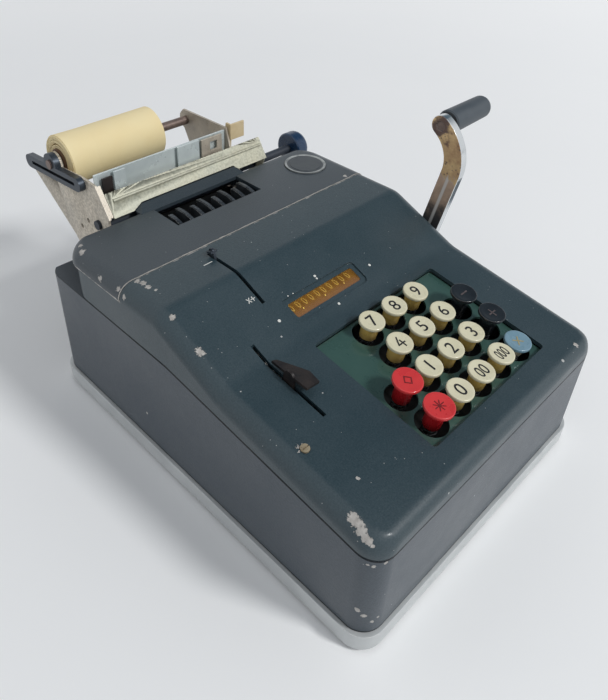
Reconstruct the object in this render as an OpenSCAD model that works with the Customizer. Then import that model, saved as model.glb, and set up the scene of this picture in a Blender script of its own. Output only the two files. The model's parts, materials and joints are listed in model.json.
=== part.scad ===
// Hand-cranked printing calculator with a ten-key keyboard.
// Millimetres. +Z is up and the keyboard looks to -Y.
// The parts are laid out with x = 0 at the middle of the casing, y = 0 at the front edge of
// the tray and z = 0 at the underside of the tray, and place() then sets the whole on its feet.

/* [Tray and casing] */
// Width of the base tray
tray_w = 200; // [192:1:230]
// Depth of the base tray
tray_d = 262; // [256:1:290]
// Height of the base tray
tray_h = 11; // [9:0.5:14]
// Sheet thickness of the base tray
tray_t = 1.2; // [1:0.1:2]
// Width of the turned-in rim that carries the casing
tray_rim = 8; // [7:0.5:12]
// Plan corner radius of the base tray
tray_r = 13; // [11:1:16]
// How far the casing stands in from the edge of the tray
case_inset = 2; // [1:0.5:3]
// Wall thickness of the casing
wall = 2.5; // [2:0.1:3]
// Plan corner radius of the casing
case_r = 12; // [9:1:15]
// Height of the rubber feet
foot_h = 2.5; // [1.5:0.5:6]
// Radius of the rubber feet
foot_r = 8; // [6:0.5:10]

/* [Cover profile] */
// Height of the seam between casing and cover at the rear
seam_rear_z = 84.5; // [82:0.5:88]
// Height of the seam at the front
seam_front_z = 67.5; // [64:0.5:69]
// Distance from the front at which the seam starts to fall
seam_bend_y = 142; // [120:1:160]
// Height of the level deck at the rear
deck_z = 114; // [112:0.5:120]
// Distance from the front at which the deck ends
crest_y = 148; // [144:1:156]
// Distance from the front at which the steep slope meets the keyboard slope
slope_foot_y = 101; // [98:1:104]
// Height of that meeting line
slope_foot_z = 94.5; // [93:0.5:97]
// Slope of the keyboard in degrees
key_slope = 9; // [7:0.5:11]
// Radius of the front edge of the cover
nose_r = 7; // [5:0.5:9]
// Radius along the shoulders of the cover
shoulder_r = 9; // [6:0.5:11]
// Radius of the hollow at the foot of the steep slope
hollow_r = 30; // [20:1:40]
// Radius of the crest
crest_r = 16; // [10:1:24]
// Distance from the front of the joint between front cover and rear cover
ridge_y = 179; // [174:1:184]
// Depth of the shelf that the casing has behind the cover
shelf_d = 28; // [24:1:34]
// How far the rear cover reaches over the back of the front cover
lid_overhang = 4; // [2:0.5:6]
// Plan corner radius of both covers at the rear
cover_rear_r = 16; // [12:1:20]
// Depth of the skirt of the rear cover
lid_skirt = 9; // [7:0.5:12]
// How far the rear cover stands proud of the front cover
lid_proud = 0.4; // [0.2:0.1:0.8]

/* [Keyboard] */
// Pitch of the keys
key_pitch = 19; // [18:0.1:19.4]
// Middle of the numeral column that holds 8, 5 and 2
key_mid_x = 12; // [10:1:14]
// Distance from the front of the middle of the key field
key_mid_y = 56.5; // [55:0.5:58]
// Height of the cream key tops over the key plate
key_rise = 10.5; // [8:0.5:11]
// Travel of the keys
key_travel = 3.5; // [2:0.5:4]
// Radius of a cream key top
cap_r = 7.1; // [6.5:0.1:8]
// Thickness of a key top
cap_t = 2; // [1.5:0.1:2.5]
// Radius of the barrel under a key top
barrel_r = 4.9; // [4.6:0.1:6]
// Radius of the holes in the key plate
key_hole_r = 8.75; // [8.7:0.05:8.85]
// Margin of the key plate beside its outer holes
plate_side = 4; // [1:0.5:6]
// Margin of the key plate before and behind its outer holes
plate_ends = 1.75; // [1:0.25:2.5]
// Thickness of the key plate
plate_t = 1.5; // [1:0.1:2]
// How deep the key plate lies under the cover's surface
plate_sink = 3; // [2:0.5:4]
// Width of a key stem
stem_w = 4; // [3:0.5:5]
// Thickness of a key stem
stem_t = 1.5; // [1:0.1:2]
// Depth of the stem guide under the key plate
guide_drop = 13; // [12:0.5:16]

/* [Register] */
// Middle of the register window across the machine
reg_x = -7.5; // [-10:0.5:-4]
// Distance of the window's middle from the front
reg_y = 116; // [114:0.5:119]
// Length of the window
reg_w = 51; // [50:0.5:54]
// Height of the window along the slope
reg_h = 9.5; // [8:0.5:11]
// Number of number wheels
wheel_count = 10; // [8:1:10]
// Radius of a number wheel
wheel_r = 11; // [9:0.5:12]
// Pitch of the number wheels
wheel_pitch = 5; // [4.8:0.05:5.05]

/* [Printing works] */
// Middle of the type window across the machine
type_x = -5.5; // [-8:0.5:-3]
// Width of the type window
type_w = 66; // [64:1:70]
// Depth of the type window, from the back of the front cover
type_d = 26; // [24:1:29]
// Number of type segments
type_count = 8; // [6:1:8]
// Thickness of a type segment
type_t = 2.4; // [1.6:0.1:2.6]
// Radius of a type segment
type_r = 31; // [28:0.5:32]
// Radius of the platen roller
platen_r = 8; // [6:0.5:8.5]
// Distance of the platen's axis behind the tear bar
platen_set = 11; // [10:0.5:12]
// Drop of the platen's axis under the deck
platen_drop = 7.5; // [6:0.5:10]
// Radius of the platen knob
knob_r = 11.3; // [9:0.1:12]
// Thickness of the platen knob
knob_t = 12; // [9:0.5:14]

/* [Paper unit] */
// Inner face of the left paper bracket
bracket_left_x = -64; // [-66:0.5:-63]
// Inner face of the right paper bracket
bracket_right_x = 36; // [34:0.5:38]
// Sheet thickness of the brackets and the tear bar
bracket_t = 1.5; // [1:0.1:2]
// Distance of the roll's axis behind the casing
roll_reach = 33; // [29:1:36]
// Height of the roll's axis over the shelf of the casing
roll_rise = 47; // [44:0.5:50]
// Radius of the paper roll
roll_r = 17; // [12:0.5:22]
// Width of the paper roll
roll_w = 70; // [57:1:74]
// Radius of the wooden spool
spool_r = 8; // [6:0.5:10]
// Radius of the roll's axle
axle_r = 3; // [2:0.1:3.4]
// Length of the tear bar
bar_w = 123; // [120:1:125]
// Height of the tear bar along its face
bar_h = 15.5; // [14:0.5:18]
// How far the tear bar leans back
bar_lean = 33; // [28:1:36]

/* [Crank] */
// Distance of the main shaft from the front
shaft_y = 136; // [132:1:138]
// Height of the main shaft
shaft_z = 50; // [46:0.5:54]
// Radius of the main shaft
shaft_r = 5; // [4:0.5:6]
// Gap between casing and crank arm
arm_gap = 6; // [4:0.5:8]
// Thickness of the crank arm
arm_t = 6; // [4:0.5:8]
// Width of the crank arm
arm_w = 13; // [10:0.5:15]
// Height of the grip's axis over the shaft
crank_rise = 110; // [100:1:120]
// How far the grip's axis lies in front of the shaft
crank_lean = 5.5; // [2:0.5:12]
// Height of the crank arm's bend over the shaft
elbow_rise = 81; // [70:1:84]
// How far the bend lies in front of the shaft
elbow_lean = 17.5; // [14:0.5:20]
// Length of the grip
grip_l = 40; // [36:1:56]
// Radius of the grip beside the arm
grip_r = 7.7; // [7:0.1:9.5]
// Radius of the grip at its free end
grip_end_r = 7.2; // [6.5:0.1:7.5]
// Angle by which the grip's pin leans up
grip_tilt = 1; // [0:0.5:7]
// Turn of the crank to its stop in degrees
crank_turn = 80; // [60:1:90]

/* [Gears] */
// Module of the gears
gear_m = 1.5; // [1.4:0.05:1.6]
// Teeth of the drive gear
drive_teeth = 30; // [28:1:31]
// Teeth of the cam gear
cam_teeth = 20; // [18:1:22]

/* [Hidden] */
fit = 0.06;
gap = 0.3;
guide_t = 1.5;
eps = 0.01;
KEYS = [
    // name, column, row, cap radius over cream, extra rise, colour
    ["key_0", -1, 0, 0, 0, "ivory"],
    ["key_00", 0, 0, 0, 0, "ivory"],
    ["key_000", 1, 0, 0, 0, "ivory"],
    ["key_1", -1, 1, 0, 0, "ivory"],
    ["key_2", 0, 1, 0, 0, "ivory"],
    ["key_3", 1, 1, 0, 0, "ivory"],
    ["key_4", -1, 2, 0, 0, "ivory"],
    ["key_5", 0, 2, 0, 0, "ivory"],
    ["key_6", 1, 2, 0, 0, "ivory"],
    ["key_7", -1, 3, 0, 0, "ivory"],
    ["key_8", 0, 3, 0, 0, "ivory"],
    ["key_9", 1, 3, 0, 0, "ivory"],
    ["key_total", -2, 0, 0.7, 3, "crimson"],
    ["key_subtotal", -2, 1, 0.7, 3, "crimson"],
    ["key_repeat", 2, 0, 0.4, -3.5, "steelblue"],
    ["key_plus", 2, 1, 0.4, 2.5, "dimgray"],
    ["key_minus", 2, 2, 0.4, 2.5, "dimgray"],
];
$fn = 48;

// Derived places
key_columns = 4;
key_rows = 3;
plate_w = key_columns * key_pitch + 2 * (key_hole_r + plate_side);
plate_d = key_rows * key_pitch + 2 * (key_hole_r + plate_ends);
case_hw = tray_w / 2 - case_inset;
case_y0 = case_inset;
case_y1 = tray_d - case_inset;
case_z0 = tray_h + gap;
cover_y1 = case_y1 - shelf_d;
lid_y1 = cover_y1 + lid_overhang;
lid_z0 = deck_z - lid_skirt;
nose_z = slope_foot_z - (slope_foot_y - case_y0) * tan(key_slope);
steep = atan2(deck_z - slope_foot_z, crest_y - slope_foot_y);

// Corner of a path moved inwards by t, to the right of the way that the path runs
function unit(v) = v / norm(v);
function right_of(v) = [v[1], -v[0]];
function moved_corner(a, b, c, t) =
    let (n = right_of(unit(b - a)), m = right_of(unit(c - b)))
    b + t * (n + m) / (1 + n * m);
// Arc of radius r that rounds the corner b between a and c, as count + 1 points
function arc_at(a, b, c, r, count) =
    let (
        u = unit(a - b), v = unit(c - b),
        half = acos(max(-1, min(1, u * v))) / 2,
        centre = b + unit(u + v) * r / sin(half),
        p = b + u * r / tan(half), q = b + v * r / tan(half),
        s = atan2(p[1] - centre[1], p[0] - centre[0]),
        e = atan2(q[1] - centre[1], q[0] - centre[0]),
        turn = e - s > 180 ? e - s - 360 : e - s < -180 ? e - s + 360 : e - s
    )
    [for (i = [0:count]) centre + r * [cos(s + turn * i / count), sin(s + turn * i / count)]];
// Side view of the cover's top, moved inwards by t
function cover_line(t) =
    let (
        p = [[case_y0, 0], [case_y0, nose_z], [slope_foot_y, slope_foot_z],
             [crest_y, deck_z], [cover_y1 + 20, deck_z]],
        q = [for (i = [1:3]) moved_corner(p[i - 1], p[i], p[i + 1], t)],
        s = [q[0][0], 0], e = [cover_y1 + 20, deck_z - t]
    )
    concat(arc_at(s, q[0], q[1], nose_r - t, 10), arc_at(q[0], q[1], q[2], hollow_r + t, 8),
           arc_at(q[1], q[2], e, crest_r - t, 8), [e]);
function seam_z(y) = lookup(y, [[case_y0, seam_front_z], [seam_bend_y, seam_rear_z]]);

// Half width at y of a plan with rounded corners, from y0 to y1
function plan_half(y, y0, y1, hw, rf, rr) =
    let (df = rf - (y - y0), dr = rr - (y1 - y))
    hw - (df > 0 ? rf - sqrt(max(0, rf * rf - df * df)) : 0)
       - (dr > 0 ? rr - sqrt(max(0, rr * rr - dr * dr)) : 0);
// Stations between y0 and y1: close together in the rounded corners and where line bends
function stations(line, y0, y1, rf, rr) =
    concat(
        rf > 0 ? [for (i = [0:10]) y0 + rf * (1 - cos(90 * i / 10))] : [y0],
        [for (p = line) if (p[0] > y0 + rf + 0.8 && p[0] < y1 - rr - 0.8) p[0]],
        rr > 0 ? [for (i = [10:-1:0]) y1 - rr * (1 - cos(90 * i / 10))] : [y1]
    );
// Solid with rounded shoulders: its top follows line, its foot stands at foot(y)
module shell_form(line, y0, y1, hw, rf, rr, sr, level, drop) {
    ys = stations(line, y0, y1, rf, rr);
    steps = 8;
    n = 2 * (steps + 1) + 2;
    rows = [for (y = ys)
        let (
            w = plan_half(y, y0, y1, hw, rf, rr),
            zt = lookup(y, line),
            zb = (level > 0 ? level : seam_z(y)) - drop,
            r = min(sr, zt - zb - 0.4)
        )
        concat(
            [[-w, y, zb]],
            [for (i = [0:steps]) let (a = 90 * i / steps) [-w + r * (1 - cos(a)), y, zt - r * (1 - sin(a))]],
            [for (i = [steps:-1:0]) let (a = 90 * i / steps) [w - r * (1 - cos(a)), y, zt - r * (1 - sin(a))]],
            [[w, y, zb]]
        )];
    m = len(rows);
    polyhedron(
        points = [for (row = rows) for (p = row) p],
        faces = concat(
            [[for (j = [0:n - 1]) j]],
            [[for (j = [n - 1:-1:0]) (m - 1) * n + j]],
            [for (i = [0:m - 2]) for (j = [0:n - 1])
                let (a = i * n + j, b = i * n + (j + 1) % n) [a, a + n, b + n]],
            [for (i = [0:m - 2]) for (j = [0:n - 1])
                let (a = i * n + j, b = i * n + (j + 1) % n) [a, b + n, b]]
        )
    );
}

// Overall reach, for the origin at the middle of the footprint
arm_x0 = case_hw + case_inset + arm_gap;
grip_start = 2;
grip_edge = 4;
grip_end = arm_x0 + arm_t + (grip_start + grip_l - grip_edge) * cos(grip_tilt)
         + (grip_end_r - grip_edge) * sin(grip_tilt) + grip_edge;
roll_y = case_y1 + roll_reach;
roll_z = seam_rear_z + roll_rise;
cradle_reach = 33;
tip_y = roll_y + cradle_reach;
mid_x = (grip_end - tray_w / 2) / 2;
mid_y = tip_y / 2;
module place() { translate([-mid_x, -mid_y, foot_h]) children(); }

// Rounded rectangle about x = 0 from y0 to y1, with radius r in front and q at the rear
module plan(hw, y0, y1, r, q) {
    half = (y1 - y0) / 2;
    translate([-hw + r, y0]) square([2 * (hw - r), half]);
    translate([-hw + q, y1 - half - 1]) square([2 * (hw - q), half + 1]);
    translate([-hw, y0 + r]) square([2 * hw, y1 - y0 - r - q]);
    for (x = [-hw + r, hw - r]) translate([x, y0 + r]) circle(r);
    for (x = [-hw + q, hw - q]) translate([x, y1 - q]) circle(q);
}
// Bar with round ends from a to b, r to each side
module bar_shape(a, b, r) {
    s = atan2(b[1] - a[1], b[0] - a[0]);
    polygon(concat(
        [for (i = [0:10]) b + r * [cos(s - 90 + 18 * i), sin(s - 90 + 18 * i)]],
        [for (i = [0:10]) a + r * [cos(s + 90 + 18 * i), sin(s + 90 + 18 * i)]]));
}
// Turned profile that narrows from r0 to r1 over its length l and ends in an edge of radius e
module turned_profile(r0, r1, l, e) {
    polygon([[0, 0], [r0 - 0.8, 0], [r0, 0.8], [r1, l - e], [0, l - e]]);
    square([r1 - e, l]);
    intersection() {
        translate([r1 - e, l - e]) circle(e);
        square([r0, l]);
    }
}
// A shape in the y-z plane, given in [y, z], extruded from x0 to x1
module side_plate(x0, x1) {
    translate([x0, 0, 0]) rotate([90, 0, 90]) linear_extrude(x1 - x0) children();
}
// A rod along X
module x_rod(x0, x1, y, z, r) {
    translate([x0, y, z]) rotate([0, 90, 0]) cylinder(r = r, h = x1 - x0);
}

// Tray and casing
module base_tray() {
    color("silver") difference() {
        linear_extrude(tray_h) plan(tray_w / 2, 0, tray_d, tray_r, tray_r);
        translate([0, 0, tray_t]) linear_extrude(tray_h - 2 * tray_t)
            plan(tray_w / 2 - tray_t, tray_t, tray_d - tray_t, tray_r - tray_t, tray_r - tray_t);
        translate([0, 0, tray_h / 2]) linear_extrude(tray_h)
            plan(tray_w / 2 - tray_rim, tray_rim, tray_d - tray_rim, tray_r - tray_rim,
                 tray_r - tray_rim);
    }
}
foot_in = 22;
module rubber_feet() {
    color("black")
        for (x = [-tray_w / 2 + foot_in, tray_w / 2 - foot_in], y = [foot_in, tray_d - foot_in])
            translate([x, y, -foot_h]) cylinder(r1 = foot_r - 0.8, r2 = foot_r, h = foot_h);
}
module side_outline() {
    polygon([[-1, case_z0], [-1, seam_front_z], [case_y0, seam_front_z], [seam_bend_y, seam_rear_z],
             [case_y1 - 3, seam_rear_z], [case_y1 + 1, seam_rear_z - 4], [case_y1 + 1, case_z0]]);
}
module lower_shell() {
    color("darkslategray") difference() {
        intersection() {
            translate([0, 0, case_z0]) linear_extrude(seam_rear_z)
                plan(case_hw, case_y0, case_y1, case_r, case_r);
            side_plate(-case_hw - 1, case_hw + 1) side_outline();
        }
        // the inside, open below and above, with the shelf left over the rear
        translate([0, 0, case_z0 - 1]) linear_extrude(seam_rear_z - wall - case_z0 + 1)
            plan(case_hw - wall, case_y0 + wall, case_y1 - wall, case_r - wall, case_r - wall);
        translate([0, 0, case_z0 + 20]) linear_extrude(seam_rear_z)
            plan(case_hw - wall, case_y0 + wall, cover_y1 - wall, case_r - wall, cover_rear_r - wall);
        // hole for the main shaft's bush
        x_rod(case_hw - wall - 1, case_hw + 1, shaft_y, shaft_z, shaft_r + bush_t + fit);
    }
}

// Covers
module on_keys() {
    translate([0, key_mid_y, slope_foot_z - (slope_foot_y - key_mid_y) * tan(key_slope)])
        rotate([key_slope, 0, 0]) children();
}
plate_mid_x = key_mid_x;
module on_register() {
    translate([reg_x, reg_y, slope_foot_z + (reg_y - slope_foot_y) * tan(steep)])
        rotate([steep, 0, 0]) children();
}
module rounded_slab(w, d, h, r) {
    linear_extrude(h) {
        square([w - 2 * r, d], center = true);
        square([w, d - 2 * r], center = true);
        for (x = [-w / 2 + r, w / 2 - r], y = [-d / 2 + r, d / 2 - r]) translate([x, y]) circle(r);
    }
}
// Slots of the two levers: place across, first and last distance from the front
lever_a = [-44, crest_y - 21, crest_y + 24];
lever_b = [-66, slope_foot_y - 39, slope_foot_y + 11];
slot_w = 2.2;
module lever_slots() {
    for (s = [lever_a, lever_b])
        translate([s[0] - slot_w / 2, s[1], seam_front_z]) cube([slot_w, s[2] - s[1], deck_z]);
}
screw_at = [12 - case_hw, key_mid_y - 1];
screw_r = 2.3;
module at_screw() {
    translate([screw_at[0], screw_at[1], slope_foot_z - (slope_foot_y - screw_at[1]) * tan(key_slope)])
        rotate([key_slope, 0, 0]) children();
}
module front_cover() {
    color("darkslategray") difference() {
        shell_form(cover_line(0), case_y0, cover_y1, case_hw, case_r, cover_rear_r, shoulder_r,
                   0, -gap);
        shell_form(cover_line(wall), case_y0 + wall, cover_y1 - wall, case_hw - wall,
                   case_r - wall, cover_rear_r - wall, shoulder_r - wall, 0, 2);
        // open top under the rear cover
        translate([-case_hw - 1, ridge_y, lid_z0 - gap]) cube([2 * case_hw + 2, 100, 40]);
        // way through the back wall for the type segments
        translate([type_x - type_w / 2, cover_y1 - wall - 1, seam_rear_z + 4])
            cube([type_w, wall + 2, 40]);
        // keyboard opening
        on_keys() translate([plate_mid_x, 0, -10]) rounded_slab(plate_w, plate_d, 20, 2);
        // register window and its shallow surround
        on_register() {
            translate([0, 0, -6]) rounded_slab(reg_w, reg_h, 20, 1.5);
            translate([0, 0, -0.9]) rounded_slab(reg_w + 6, reg_h + 6, 10, 3);
        }
        lever_slots();
        at_screw() translate([0, 0, -1]) cylinder(r = screw_r + 0.2, h = 5);
    }
}
lid_edge_r = 6;
type_y = cover_y1 - type_d;
badge_at = [case_hw - 24, cover_y1 - 20.5];
badge_r = 14.5;
badge_sink = 0.6;
lid_line = let (
        z = deck_z + lid_proud,
        a = [ridge_y, z], b = [lid_y1, z], c = [lid_y1, 0]
    ) concat([a], arc_at(a, b, c, lid_edge_r, 8));
// Raised lip behind the type window, on which the paper rises to the tear bar
lip_rise = 2.5;
module paper_lip() {
    y0 = lid_y1 - lid_edge_r + 0.2;
    y1 = lid_y1 + 1.8;
    z = deck_z + lid_proud;
    intersection() {
        side_plate(notch_x0 + 0.6, notch_x1 - 0.6)
            polygon([[y0, z - 0.05], [y1, z + lip_rise], [y1, z + lip_rise - 1.2],
                     [lid_y1 - 1, z - 2.2], [lid_y1 - 2, z - 2.4], [y0, z - 1.9]]);
        translate([0, y1 + 1, 0]) rotate([90, 0, 0]) linear_extrude(y1 - y0 + 2)
            polygon([[notch_x0 + 0.9, z - 4], [notch_x0 + 0.9, z - 0.05], [notch_x0 + 7.5, z + 3],
                     [notch_x1 - 3.8, z + 3], [notch_x1 - 0.7, z - 0.05], [notch_x1 - 0.7, z - 4]]);
    }
}
module rear_cover() {
    color("darkslategray") paper_lip();
    color("darkslategray") difference() {
        shell_form(lid_line, ridge_y + gap, lid_y1, case_hw + lid_proud, 0, cover_rear_r,
                   shoulder_r, lid_z0, 0);
        shell_form([for (p = lid_line) [p[0] - (p[0] > lid_y1 - lid_edge_r ? wall : 0), p[1] - wall]],
                   ridge_y - 1, lid_y1 - wall, case_hw + lid_proud - wall, 0, cover_rear_r - wall,
                   shoulder_r - wall, lid_z0, 1);
        translate([badge_at[0], badge_at[1], deck_z + lid_proud - badge_sink])
            cylinder(r = badge_r, h = 5);
        // type window
        translate([type_x - type_w / 2, type_y, lid_z0 - 5])
            cube([type_w, lid_y1 - lid_edge_r - type_y, 40]);
        // room for the type segments under the rear edge
        x_rod(type_x - type_w / 2, type_x + type_w / 2, type_axis[0], type_axis[1], type_r - 0.5);
    }
}
module key_plate() {
    color("darkgreen") on_keys() translate([0, 0, -plate_sink - plate_t]) difference() {
        translate([plate_mid_x, 0, 0]) rounded_slab(plate_w - 2 * gap, plate_d - 2 * gap, plate_t, 1.7);
        for (k = KEYS)
            translate([key_x(k), key_v(k), -1]) cylinder(r = key_hole_r, h = plate_t + 2);
    }
}
module register_lens() {
    color("orange") on_register() translate([0, 0, -2.4])
        rounded_slab(reg_w - 2 * fit, reg_h - 2 * fit, 1.2, 1.4);
}
module round_badge() {
    color("slategray") translate([badge_at[0], badge_at[1], deck_z + lid_proud - badge_sink]) difference() {
        cylinder(r = badge_r - gap, h = 1.4);
        translate([0, 0, 1]) difference() {
            cylinder(r = badge_r - 1.5, h = 1);
            cylinder(r = badge_r - 4, h = 1);
        }
    }
}
module slotted_screw() {
    difference() {
        cylinder(r = screw_r, h = 1.6);
        translate([-4, -0.3, 1]) cube([8, 0.6, 2]);
    }
}
module casing_screws() {
    color("gray") {
        at_screw() translate([0, 0, -1]) slotted_screw();
        // two on the foot of each paper bracket
        for (x = [bracket_left_x + foot_w / 2, bracket_right_x - foot_w / 2],
             z = [foot_z + 5, foot_z + foot_rise - 5])
            translate([x, case_y1 + gap + bracket_t, z]) rotate([-90, 0, 0]) slotted_screw();
    }
}

// Keys
function key_x(k) = key_mid_x + k[1] * key_pitch;
function key_v(k) = (k[2] - 1.5) * key_pitch;
barrel_foot = -plate_sink - plate_t + 0.5;
module key(k) {
    top = key_rise - plate_sink + k[4];
    r = cap_r + k[3];
    foot = -plate_sink - plate_t - guide_drop;
    color(k[5]) on_keys() translate([key_x(k), key_v(k), 0]) {
        difference() {
            translate([0, 0, top - cap_t]) cylinder(r = r, h = cap_t);
            translate([0, 0, top - 0.4]) cylinder(r = r - 0.9, h = 1);
        }
        translate([0, 0, top - cap_t - 1.2]) cylinder(r1 = barrel_r + 0.4, r2 = r, h = 1.2);
        translate([0, 0, barrel_foot])
            cylinder(r1 = barrel_r - 0.3, r2 = barrel_r, h = top - cap_t - 1.2 - barrel_foot);
        translate([-stem_w / 2, -stem_t / 2, foot - 6])
            cube([stem_w, stem_t, barrel_foot + 1 - foot + 6]);
    }
}
guide_ends = 7;
post_in = 3;
module key_guide_plate() {
    color("gainsboro") on_keys() translate([0, 0, -plate_sink - plate_t - guide_drop]) {
        difference() {
            rounded_slab(2 * frame_x, key_rows * key_pitch + 2 * guide_ends, guide_t, 2);
            for (k = KEYS)
                translate([key_x(k) - stem_w / 2 - fit, key_v(k) - stem_t / 2 - fit, -1])
                    cube([stem_w + 2 * fit, stem_t + 2 * fit, 4]);
            // way for the function lever
            translate([lever_b[0] - 2, 4, -1]) cube([4, key_rows * key_pitch, 4]);
        }
        // posts that carry the key plate between the rows of holes
        for (x = [plate_mid_x - plate_w / 2 + post_in, plate_mid_x + plate_w / 2 - post_in],
             v = [-key_pitch, key_pitch])
            translate([x, v, guide_t - eps]) cylinder(r = 1.6, h = guide_drop - guide_t + eps);
    }
}
// Least gap of a coil to itself, measured between points of its middle line
function coil_gap(r, w, h, turns) =
    min([for (a = [180:9:540]) norm([r * cos(a) - r, r * sin(a), h * a / 360 / turns])]) - 2 * w;
// A coil as one tube: radius r, wire radius w, height h
module coil(r, w, h, turns, sides) {
    steps = 8 * turns;
    pts = [for (i = [0:steps]) let (a = 45 * i, z = h * i / steps)
        for (j = [0:sides - 1]) let (b = 360 * j / sides)
            [(r + w * cos(b)) * cos(a), (r + w * cos(b)) * sin(a), z + w * sin(b)]];
    polyhedron(points = pts, faces = concat(
        [[for (j = [0:sides - 1]) j]],
        [[for (j = [sides - 1:-1:0]) steps * sides + j]],
        [for (i = [0:steps - 1]) for (j = [0:sides - 1])
            let (a = i * sides + j, b = i * sides + (j + 1) % sides) [a, a + sides, b + sides]],
        [for (i = [0:steps - 1]) for (j = [0:sides - 1])
            let (a = i * sides + j, b = i * sides + (j + 1) % sides) [a, b + sides, b]]
    ));
}
key_spring_r = 4;
key_wire_r = 0.4;
module key_springs() {
    base = -plate_sink - plate_t - guide_drop + guide_t;
    h = barrel_foot - base - 2 * key_wire_r - 2 * gap;
    echo(str("key springs: least gap to themselves ", coil_gap(key_spring_r, key_wire_r, h, 4), " mm"));
    color("silver") on_keys()
        for (k = KEYS)
            translate([key_x(k), key_v(k), base + key_wire_r + gap])
                coil(key_spring_r, key_wire_r, h, 4, 4);
}

// Frame plates and rods
frame_t = 2;
frame_in = 10;
frame_x = case_hw - frame_in - frame_t;
frame_y0 = case_y0 + wall + 9.5;
frame_y1 = cover_y1 - wall - 3.5;
frame_top = lid_z0 - 6;
carriage_z = slope_foot_z - (slope_foot_y - key_mid_y) * tan(key_slope) - 41.5;
rail_y = [key_mid_y - 24.5, key_mid_y + 13.5];
rail_r = 3;
rod_end_r = 2;
tie_low = 20;
tie_at = [[frame_y0 + 12, tie_low], [frame_y1 - 20, tie_low], [frame_y1 - 30, frame_top - 7]];
pin_a = [crest_y + 7, deck_z - 44];
pin_b = [slope_foot_y - 11, 12];
type_axis = [cover_y1 - 14, lid_z0 - 21];
bush_t = 4;
press = 0.03;
wheel_axis = let (s = wheel_r + 3.4)
    [reg_y + s * sin(steep), slope_foot_z + (reg_y - slope_foot_y) * tan(steep) - s * cos(steep)];
cam_y = shaft_y + gear_m * (drive_teeth + cam_teeth) / 2 + 0.1;
cam_r = 4;
wheel_bore = 2.5;
type_bore = 2.5;
pin_r = 2.5;
module frame_outline() {
    difference() {
        polygon([[frame_y0, tray_t], [frame_y0, seam_front_z - 6],
                 [slope_foot_y - 4, slope_foot_z - 12], [crest_y - 4, deck_z - 10],
                 [ridge_y + 2, deck_z - 12], [ridge_y + 8, frame_top],
                 [frame_y1, frame_top], [frame_y1, tray_t]]);
        translate([shaft_y - 84, shaft_z - 28]) square([50, 18]);
        translate([shaft_y + 14, shaft_z - 32]) square([frame_y1 - 46 - shaft_y, 16]);
        for (p = tie_at) translate(p) circle(rod_end_r + press);
        for (y = rail_y) translate([y, carriage_z]) circle(rod_end_r + press);
        translate([cam_y, shaft_z]) circle(cam_r + fit);
        translate([shaft_y, shaft_z]) circle(shaft_r + bush_t + press);
        translate(wheel_axis) circle(wheel_bore + press);
        translate(type_axis) circle(type_bore + press);
    }
}
module left_frame() {
    color("silver") side_plate(-frame_x - frame_t, -frame_x) difference() {
        frame_outline();
        translate(pin_a) circle(pin_r + press);
        translate(pin_b) circle(pin_r + press);
    }
}
module right_frame() {
    color("silver") side_plate(frame_x, frame_x + frame_t) frame_outline();
}
module frame_rods() {
    color("silver")
        for (p = concat(tie_at, [for (y = rail_y) [y, carriage_z]])) {
            x_rod(-frame_x, frame_x, p[0], p[1], rail_r);
            x_rod(-frame_x - frame_t - 1, frame_x + frame_t + 1, p[0], p[1], rod_end_r);
        }
}
module fixed_shafts() {
    color("silver") {
        x_rod(-frame_x - frame_t - 1, frame_x + frame_t + 1, wheel_axis[0], wheel_axis[1], wheel_bore);
        x_rod(-frame_x - frame_t - 1, frame_x + frame_t + 1, type_axis[0], type_axis[1], type_bore);
        x_rod(-frame_x - frame_t - 1, lever_a[0] + 4, pin_a[0], pin_a[1], pin_r);
        x_rod(-frame_x - frame_t - 1, lever_b[0] + 4, pin_b[0], pin_b[1], pin_r);
        // collars that keep each lever in its place
        for (x = [-lever_t / 2 - gap - 2, lever_t / 2 + gap]) {
            x_rod(lever_a[0] + x, lever_a[0] + x + 2, pin_a[0], pin_a[1], pin_r + 1.5);
            x_rod(lever_b[0] + x, lever_b[0] + x + 2, pin_b[0], pin_b[1], pin_r + 1.5);
        }
    }
}
module bush(x0, x1) {
    difference() {
        x_rod(x0, x1, shaft_y, shaft_z, shaft_r + bush_t);
        x_rod(x0 - 1, x1 + 1, shaft_y, shaft_z, shaft_r + fit);
    }
}
module shaft_bushes() {
    color("goldenrod") {
        bush(-frame_x - frame_t - 3, -frame_x + 3);
        bush(frame_x - 3, case_hw + case_inset);
    }
}
carriage_x = key_mid_x + 12;
module pin_carriage() {
    w = 46;
    edge = 8;
    pins = 10;
    pin_pitch = (w - 5.5) / (pins - 1);
    color("gray") {
        difference() {
            translate([carriage_x, rail_y[0] - edge, carriage_z - 6])
                cube([w, rail_y[1] - rail_y[0] + 2 * edge, 12]);
            translate([carriage_x + 6, rail_y[0] + edge, carriage_z - 7])
                cube([w - 12, rail_y[1] - rail_y[0] - 2 * edge, 20]);
            for (y = rail_y) x_rod(carriage_x - 4, carriage_x + w + 4, y, carriage_z, rail_r + fit);
        }
        for (i = [0:pins - 1], y = rail_y)
            translate([carriage_x + 2 + pin_pitch * i, y, carriage_z + 5.5])
                cylinder(r = 0.9, h = 3, $fn = 16);
    }
}

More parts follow.
